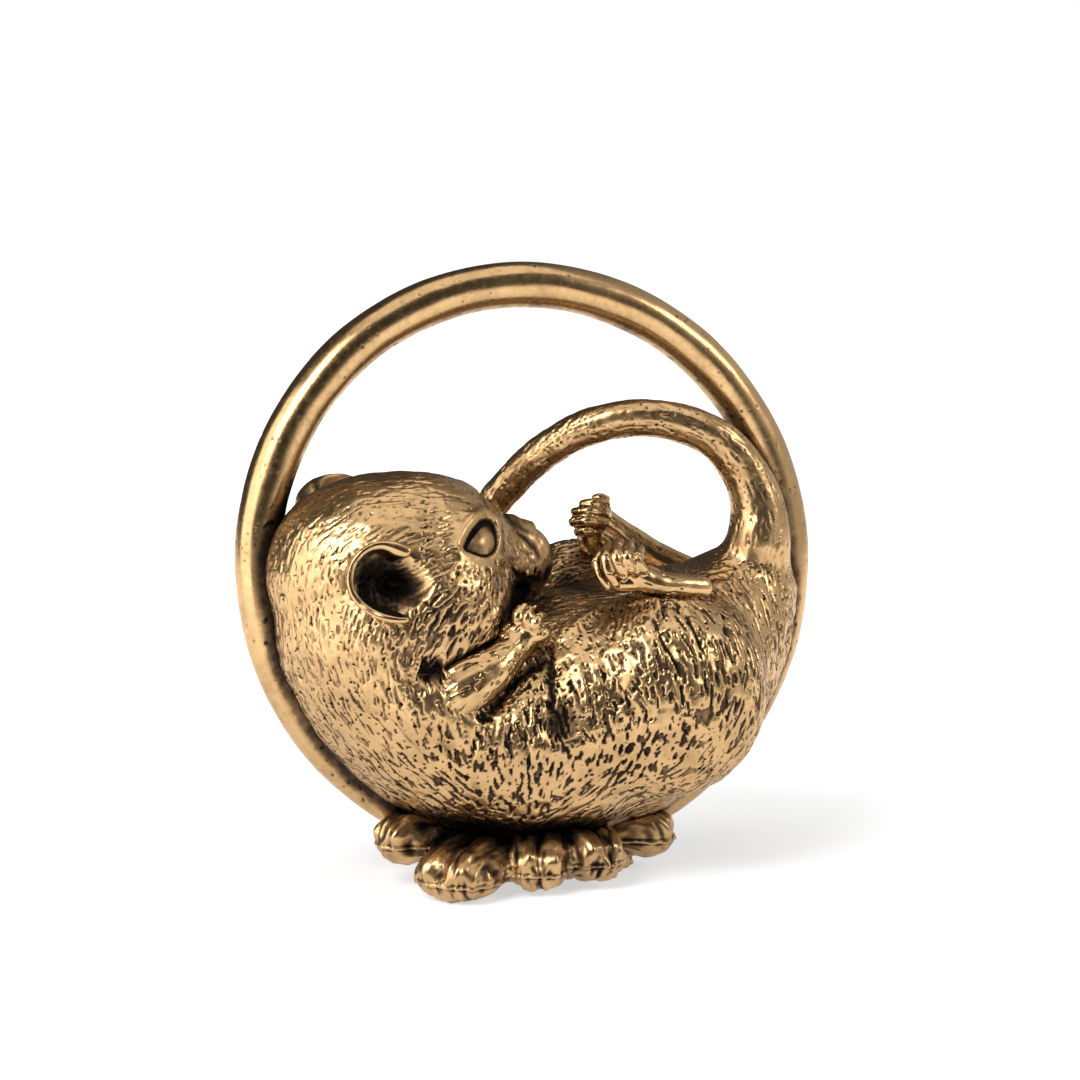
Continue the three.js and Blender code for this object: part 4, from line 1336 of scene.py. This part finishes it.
def ear_section(angle, skin, side):
    """The shell's section at an angle: distances from the axis and heights along it."""
    gap = abs((angle - EAR_GAP_MIDDLE + math.pi) % (2 * math.pi) - math.pi)
    open_share = min(1, max(0, (EAR_GAP + 0.2 - gap) / 0.4))
    fall = open_share * open_share * (3 - 2 * open_share)
    fold = math.exp(-(((angle - 2 * math.pi + 1.2) / 0.5) ** 2))
    taper = 0.55 + 0.45 * min(1, max(0, (gap - EAR_GAP) / 0.6))
    wall = EAR_WALL * (taper + 1.1 * fold)
    low, extra = EAR_STANDS[side]
    stand = low + extra * (0.5 - 0.5 * math.cos(angle - EAR_GAP_MIDDLE))
    top = skin + stand - (stand + 1.2) * fall
    radius = EAR_RIM + 0.08 * math.sin(2 * angle + 0.6)
    foot = stand + 2.2
    outside = [(radius - 1.5 * share**1.3, top - foot * share) for share in (1.0, 0.65, 0.35, 0.12)]
    bends = [math.pi * roll / EAR_ROLL for roll in range(EAR_ROLL + 1)]
    rim = [(radius - wall + wall * math.cos(b), top + 0.8 * wall * math.sin(b)) for b in bends]
    inside = [(radius - 2 * wall - 1.2 * s**1.3, top - foot * s) for s in (0.12, 0.35, 0.65, 1.0)]
    return outside + rim + inside


print(f"ear section: {len(ear_section(0.0, 0.0, -1))} points")

# %% [markdown]
# ## Carrying the section round
# The sections stand round the ear's axis like the pages of an open book, each starting from the skin
# below it, and faces join each one to the next. The inner side of the shell is painted dark.

# %% Ear shells
EAR_TURNS = 120


def join_rings(bm, rings):
    """Faces between each ring of points and the next one."""
    for this, following in zip(rings, rings[1:]):
        for k in range(len(this)):
            j = (k + 1) % len(this)
            bm.faces.new((this[k], this[j], following[j], following[k]))


def ear_mesh(side):
    middle, facing, front, up = ear_frame(side)
    bm = bmesh.new()
    rings = []
    for turn in range(EAR_TURNS):
        angle = 2 * math.pi * turn / EAR_TURNS
        out = front * math.cos(angle) + up * math.sin(angle)
        section = ear_section(angle, skin_height(middle + out * (EAR_RIM - 0.3), facing), side)
        rings.append([bm.verts.new(middle + out * far + facing * high) for far, high in section])
    join_rings(bm, rings + rings[:1])
    bmesh.ops.recalc_face_normals(bm, faces=bm.faces)
    return through_modifiers(bm, ("SUBSURF", {"levels": 1, "render_levels": 1}))


def ear_piece(name, solid, side):
    mesh = ear_mesh(side)
    points, normals = points_of(mesh), normals_of(mesh)
    middle, facing, *_ = (np.array(v) for v in ear_frame(side))
    offset = points - middle
    out = offset - np.outer(offset @ facing, facing)
    inward = -(normals * out).sum(1) / np.linalg.norm(out, axis=1)
    inner = np.clip((inward - 0.75) / 0.2, 0, 1)
    move_points(mesh, points + normals * (0.05 * uneven(points, 1.2, 3.0))[:, None])
    finish_piece(name, mesh, [solid], skin_bronze, patina(mesh, 0.75 * inner))


ear_piece("ear_shell_near", "ear_near", -1)
ear_piece("ear_shell_far", "ear_far", 1)

# %% [markdown]
# ## Legs
# Arms, feet, fingers and toes are rolls of wax, thick or thin, pressed together. Each roll is a tube
# along a few stations: a pixel of the photograph, how far that point lies in front of the hoop's
# middle, and a radius. A voxel remesh fuses the rolls, and a little smoothing softens the joints.

# %% Tubes through stations
TUBE_SIDES = 18
TUBE_STEP = 0.2
CAP_ANGLES = [math.radians(angle) for angle in (80, 60, 40, 20)]


def seen_at(across, down, near):
    """The point at a pixel of the photograph, so many millimetres in front of the hoop's middle."""
    ray = pixel_ray((across, down))
    reach = (VIEW_DISTANCE - near * MM) / -ray.dot(view_back)
    return from_world @ (eye_point + ray * reach)


def smooth_path(stations):
    """Places and radii at small steps along a smooth curve through the stations."""
    knots = np.array([(*seen_at(*station[:3]), station[3]) for station in stations])
    padded = np.vstack([2 * knots[0] - knots[1], knots, 2 * knots[-1] - knots[-2]])
    rows = []
    for a, b, c, d in zip(padded, padded[1:], padded[2:], padded[3:]):
        count = max(2, int(np.linalg.norm((c - b)[:3]) / TUBE_STEP))
        for s in np.arange(count) / count:
            bend = (2 * a - 5 * b + 4 * c - d) * s**2 + (3 * b - a - 3 * c + d) * s**3
            rows.append(0.5 * (2 * b + (c - a) * s + bend))
    rows.append(knots[-1])
    return np.array(rows)


def cap(place, way, radius, sign):
    """Rings of a domed end, from its tip to the tube."""
    return [
        (place + way * (sign * radius * math.sin(a)), way, radius * math.cos(a)) for a in CAP_ANGLES
    ]


def tube(bm, stations):
    """A round tube with domed ends."""
    path = smooth_path(stations)
    places = [Vector(row[:3]) for row in path]
    ways = [Vector(way).normalized() for way in np.gradient(path[:, :3], axis=0)]
    rows = list(zip(places, ways, path[:, 3]))
    across = ways[0].orthogonal().normalized()
    turns = [2 * math.pi * k / TUBE_SIDES for k in range(TUBE_SIDES)]
    rings = []
    for place, way, radius in cap(*rows[0], -1) + rows + cap(*rows[-1], 1)[::-1]:
        across = (across - way * across.dot(way)).normalized()
        up = way.cross(across)
        ring = [place + (across * math.cos(turn) + up * math.sin(turn)) * radius for turn in turns]
        rings.append([bm.verts.new(corner) for corner in ring])
    join_rings(bm, rings)
    bm.faces.new(rings[0][::-1])
    bm.faces.new(rings[-1])


print(f"tubes: {TUBE_SIDES} sides, a ring about every {TUBE_STEP} mm")

# %% [markdown]
# ## Where the rolls lie
# One table for each kind of limb, a roll in each row. The arm has its thick main roll with a ridge of
# muscle, then palm, thumb and fingers, the claws, and four thin rolls for the hair on the wrist. A
# foot has its shank and palm and five toes. The far arm is hidden and mirrors the near one.

# %% Stations of the legs: pixel across, pixel down, millimetres in front, radius
FORELEG = [
    [(414, 731, 11.8, 2.8), (450, 701, 15.3, 2.9), (488, 674, 14.7, 2.3), (513, 649, 12.8, 1.75),
     (527, 635, 12.0, 1.55)],
    [(430, 688, 16.0, 0.9), (455, 672, 16.2, 0.95), (488, 656, 15.0, 0.8), (510, 642, 13.4, 0.7)],
    [(518, 642, 12.6, 1.4), (534, 632, 12.4, 1.3)],
    [(536, 636, 12.9, 0.85), (542, 634, 12.9, 0.8), (545, 634, 12.6, 0.7)],
    [(521, 630, 12.8, 0.7), (517, 617, 13.2, 0.62), (520, 609, 12.8, 0.45)],
    [(528, 630, 13.0, 0.7), (527, 618, 13.5, 0.62), (530, 609, 13.0, 0.42)],
    [(534, 631, 13.0, 0.7), (536, 623, 13.6, 0.62), (541, 615, 13.0, 0.42)],
    [(520, 609, 12.9, 0.32), (525, 604, 12.7, 0.2)],
    [(530, 609, 13.1, 0.32), (536, 606, 12.8, 0.2)],
    [(541, 615, 13.1, 0.32), (546, 615, 12.7, 0.2)],
    [(509, 622, 12.6, 0.24), (519, 628, 13.2, 0.24)],
    [(506, 626, 12.9, 0.24), (516, 632, 13.5, 0.24)],
    [(503, 630, 13.1, 0.24), (513, 636, 13.7, 0.24)],
    [(500, 635, 13.4, 0.24), (510, 640, 14.0, 0.24)],
]
NEAR_FOOT = [
    [(700, 588, 7.3, 1.3), (682, 587, 8.1, 1.35), (660, 585, 9.0, 1.35), (642, 579, 9.3, 1.45),
     (626, 571, 9.0, 1.6)],
    [(614, 566, 8.6, 1.5), (622, 559, 8.4, 1.5), (632, 560, 8.4, 1.25)],
    [(601, 552, 9.2, 0.42), (596, 562, 10.0, 0.46), (600, 576, 10.4, 0.46), (608, 587, 10.3, 0.4)],
    [(608, 546, 9.4, 0.48), (605, 557, 11.1, 0.54), (608, 572, 11.4, 0.54), (615, 584, 11.0, 0.46)],
    [(618, 543, 9.4, 0.5), (615.5, 555, 11.6, 0.56), (618.5, 567, 11.7, 0.54), (624, 576, 11.1, 0.46)],
    [(629, 544, 9.2, 0.5), (626.5, 555, 11.4, 0.56), (630, 565, 11.4, 0.54), (635, 573, 10.8, 0.46)],
    [(640, 549, 8.8, 0.5), (637, 558, 10.9, 0.55), (641, 567, 10.8, 0.54), (646, 574, 10.1, 0.46)],
    [(621, 584, 10.0, 0.8), (634, 584, 9.7, 0.85), (646, 585, 9.1, 0.75)],
    [(650, 568, 9.3, 0.4), (664, 575, 8.9, 0.36), (690, 579, 7.6, 0.34)],
]
FAR_FOOT = [
    [(594, 514, -7.2, 1.45), (611, 526, -7.9, 1.4), (629, 540, -8.7, 1.6), (652, 556, -9.3, 1.75)],
    [(652, 556, -9.3, 1.75), (680, 571, -9.6, 1.9), (704, 582, -9.2, 1.9), (728, 598, -7.8, 1.6)],
    [(607, 499, -7.0, 0.4), (601, 497, -6.4, 0.44), (595, 498, -6.5, 0.4)],
    [(606, 505, -6.4, 0.48), (594, 503, -5.4, 0.5), (583, 504, -5.8, 0.46)],
    [(605, 513, -6.0, 0.52), (589, 511, -4.9, 0.54), (575, 512, -5.6, 0.5)],
    [(603, 523, -5.9, 0.54), (587, 521, -4.7, 0.57), (573, 522, -5.5, 0.53)],
    [(596, 532, -6.1, 0.5), (586, 531, -5.2, 0.53), (578, 532, -5.7, 0.48)],
    [(596, 520, -7.0, 1.3), (590, 532, -7.1, 1.5), (592, 543, -7.5, 1.3), (600, 552, -8.0, 1.0)],
    [(605, 503, -6.9, 0.5), (607, 512, -6.6, 0.52), (605, 521, -6.6, 0.5)],
    [(600, 535, -7.6, 1.3), (614, 545, -8.2, 1.5), (634, 560, -8.8, 1.5)],
]
print(f"rolls: {len(FORELEG)} in an arm, {len(NEAR_FOOT)} and {len(FAR_FOOT)} in the feet")

# %% [markdown]
# ## Making the limbs
# The rolls are fused with fine voxels, because fingers and toes are thin. A few strokes and dots are
# then cut into the skin along the limb. All of their skin is painted brighter, a painted sheen that
# stands for the highlights along the limbs, and their dips count more than twice.

# %% Forelegs and hind feet
FAR_ARM_INWARD = 0.3
ARM_VOXEL, ARM_MARKS = 0.17, (0.13, 0.03)
FOOT_VOXEL, FOOT_MARKS = 0.14, (0.05, 0.015)
STROKE_LENGTH, STROKE_WIDTH, STROKE_DEPTH = 1.3, 0.42, 0.07
LIMB_DOT_SIZE, LIMB_DOT_DEPTH = 0.4, 0.06
LIMB_WAVE_SIZE, LIMB_WAVE = 1.1, 0.045
LIMB_PAINTED_SHEEN = 0.22
LIMB_DIPS = 2.4


def limb_piece(name, solid, rolls, voxel, marks, seed, mirrored=False):
    """Fuses the rolls of a limb and cuts strokes and dots into it: marks are their shares."""
    bm = bmesh.new()
    for roll in rolls:
        tube(bm, roll)
    way = seen_at(*rolls[0][-1][:3]) - seen_at(*rolls[0][0][:3])
    if mirrored:
        way = body_mirror(way, False)
        for vert in bm.verts:
            vert.co = body_mirror(vert.co) - Vector((0, FAR_ARM_INWARD, 0))
        bmesh.ops.reverse_faces(bm, faces=bm.faces)
    mesh = worked(bm, voxel, 2)
    points, normals = points_of(mesh), normals_of(mesh)
    along = way.normalized()
    across = along.orthogonal().normalized()
    third = along.cross(across)
    axes = np.array([along / STROKE_LENGTH, across / STROKE_WIDTH, third / STROKE_WIDTH])
    strokes = cells(field_at(points @ axes.T + seed), marks[0])
    dots = cells(uneven(points, LIMB_DOT_SIZE, seed), marks[1])
    waves = LIMB_WAVE * uneven(points, LIMB_WAVE_SIZE, seed)
    height = waves - STROKE_DEPTH * strokes - LIMB_DOT_DEPTH * dots
    move_points(mesh, points + normals * height[:, None])
    # The whole limb is painted lighter by one amount: a painted sheen.
    painted = 0.35 * strokes + 0.45 * dots - LIMB_PAINTED_SHEEN
    patina_and_shade = patina(mesh, painted, dips=LIMB_DIPS)
    finish_piece(name, mesh, [solid], skin_bronze, patina_and_shade)


limb_piece("arm_near", "foreleg_near", FORELEG, ARM_VOXEL, ARM_MARKS, 20)
limb_piece("arm_far", "foreleg_far", FORELEG, ARM_VOXEL, ARM_MARKS, 30, mirrored=True)
limb_piece("foot_near", "hind_foot_near", NEAR_FOOT, FOOT_VOXEL, FOOT_MARKS, 40)
limb_piece("foot_far", "hind_foot_far", FAR_FOOT, FOOT_VOXEL, FOOT_MARKS, 50)

# %% [markdown]
# ## Leaf
# The leaf's lobes are thick, with a thin lip all round, where the two halves of the mould met. A vein
# makes a hollow between two ridges along each lobe, and folds run outwards over it and stay dark in
# their hollows. The foot is filed flat, so that nothing reaches below the table. A row gives a
# lobe's angle round the leaf in degrees, and its reach, width and lift in millimetres.

# %% Leaf
LOBES = [
    (195, 18.8, 6.2, 2.5), (223, 19.4, 9.2, 0.0), (253, 14.6, 6.8, 0.4), (285, 13.6, 7.0, 0.8),
    (340, 14.4, 6.4, 1.3), (40, 15.0, 7.4, 0.6), (84, 14.4, 7.4, 0.2), (132, 16.6, 8.8, 0.0),
]
LIP_HEIGHT, LIP_RAISE = 1.9, 0.2
VEIN_DEPTH, RIDGE_HEIGHT = 0.45, 0.22
FOLD_HEIGHT, FOLD_DARK = 0.3, 0.75
LEAF_VOXEL, LEAF_SMOOTHING = 0.34, 8


def bell(values, width):
    return np.exp(-((values / width) ** 2))


def leaf_height(points, normals):
    """Height of lip, veins and folds over the lobes, and how dark they are."""
    turn = np.array(to_world.to_3x3().normalized())
    table = points @ turn.T + np.array(hoop_middle) / MM
    upward = (normals @ turn.T)[:, 2]
    raised, dark = np.zeros(len(points)), np.zeros(len(points))
    owner = np.full(len(points), -1.0)
    for angle, reach, wide, lift in LOBES:
        out = np.array([math.cos(math.radians(angle)), math.sin(math.radians(angle)), 0])
        along, across = table @ out, table @ np.array([-out[1], out[0], 0])
        high = table[:, 2] - lift
        beyond = np.clip((along - 0.45 * reach) / 3, 0, 1)
        mine = beyond * np.clip(1.25 - np.abs(across) / (0.5 * wide + 0.6), 0, 1)
        upright = np.clip((0.85 - np.abs(upward)) / 0.3, 0, 1)
        lip = LIP_RAISE * bell(high - LIP_HEIGHT, 0.13) * upright
        edges = bell(high - LIP_HEIGHT + 0.28, 0.1) + bell(high - LIP_HEIGHT - 0.28, 0.1)
        seam = 0.7 * edges * upright
        above = np.clip((high - LIP_HEIGHT - 0.3) / 0.8, 0, 1)
        vein = -VEIN_DEPTH * bell(across, 0.75) + RIDGE_HEIGHT * bell(np.abs(across) - 1.7, 0.7)
        spots = np.stack([along / 3.5, across / 0.85, high / 2.8], 1) + angle
        folds = field_at(spots) + 0.6 * field_at(1.9 * spots + 7)
        taken = mine > owner
        sure = np.clip(mine * 3, 0, 1)
        raised[taken] = (sure * (lip + above * vein + FOLD_HEIGHT * folds))[taken]
        dark[taken] = (sure * (0.5 * seam + FOLD_DARK * np.clip(-folds - 0.1, 0, 1)))[taken]
        owner[taken] = mine[taken]
    return raised, dark


def filed_flat(points):
    """Points that lie below the table, lifted up to it, as the leaf's foot is filed flat."""
    up = np.array(to_world.to_3x3().normalized())[2]
    below = np.clip(-(points @ up + hoop_middle[2] / MM), 0, None)
    return points + np.outer(below, up)


mesh = worked(copy_of("leaf_base", grow=0.05), LEAF_VOXEL, LEAF_SMOOTHING)
points, normals = points_of(mesh), normals_of(mesh)
raised, dark = leaf_height(points, normals)
dots = cells(uneven(points, 0.4, 60.0), 0.02)
raised += 0.05 * uneven(points, 1.2, 61.0) - 0.06 * dots
move_points(mesh, filed_flat(points + normals * raised[:, None]))
patina_and_shade = patina(mesh, dark + 0.4 * dots)
finish_piece("leaf", mesh, ["leaf_base"], leaf_bronze, patina_and_shade)

# %% [markdown]
# ## Hoop
# The hoop is one bent rod, filed and polished by hand, so its thickness wavers by a hair and small
# nicks are left in it. A circle is spun round the hoop's axis and every point is moved along its own
# normal by a slow wave. The nicks keep their dark patina, the joint with the animal has old patina
# and painted shade, and the inner side of the ring is painted darker.

# %% Hoop
HOOP_STEPS = 480
HOOP_SIDES = 48
JOINT_DARK = 0.85
INSIDE_DARK = 0.45


def hoop_mesh():
    bm = bmesh.new()
    circle = bmesh.ops.create_circle(bm, segments=HOOP_SIDES, radius=ROD / 2)
    bmesh.ops.translate(bm, verts=circle["verts"], vec=(hoop_radius, 0, 0))
    bmesh.ops.spin(
        bm, geom=bm.verts[:] + bm.edges[:], cent=(0, 0, 0), axis=(0, 1, 0),
        angle=2 * math.pi, steps=HOOP_STEPS, use_merge=True,
    )
    bmesh.ops.recalc_face_normals(bm, faces=bm.faces)
    return through_modifiers(bm)


mesh = hoop_mesh()
points, normals = points_of(mesh), normals_of(mesh)
round_hoop = np.arctan2(points[:, 2], points[:, 0])
round_rod = np.arctan2(points[:, 1], np.hypot(points[:, 0], points[:, 2]) - hoop_radius)
waver = np.sin(9 * round_hoop + round_rod) + np.sin(17 * round_hoop - 2 * round_rod)
nicks = cells(uneven(points, 0.7, 70.0), 0.03)
height = 0.02 * waver + 0.02 * uneven(points, 2.0, 71.0) - 0.04 * nicks
move_points(mesh, points + normals * height[:, None])
to_coat = np.array([coat_tree.find_nearest(point)[3] for point in points.tolist()])
# Old patina and painted shade on the rod where the animal meets it.
joint = JOINT_DARK * np.clip((2.0 - to_coat) / 1.3, 0, 1)
# The inner side of the ring is painted darker, with a wavering edge.
inner_edge = 0.18 * uneven(points, 1.5, 72.0) - np.cos(round_rod)
painted = 0.5 * nicks + joint + INSIDE_DARK * np.clip((inner_edge - 0.55) / 0.35, 0, 1)
finish_piece("hoop_rod", mesh, ["hoop"], rod_bronze, patina(mesh, painted))

# %% [markdown]
# ## Dowels
# The dowels are plain brass pins inside the joints. Their solids are already right and stay as they
# are; they only get a finish.

# %% Dowels
pins = [name for name in nodes if "dowel" in name]
for name in pins:
    nodes[name].data.materials.clear()
    nodes[name].data.materials.append(pin_brass)
print("pins:", ", ".join(pins))
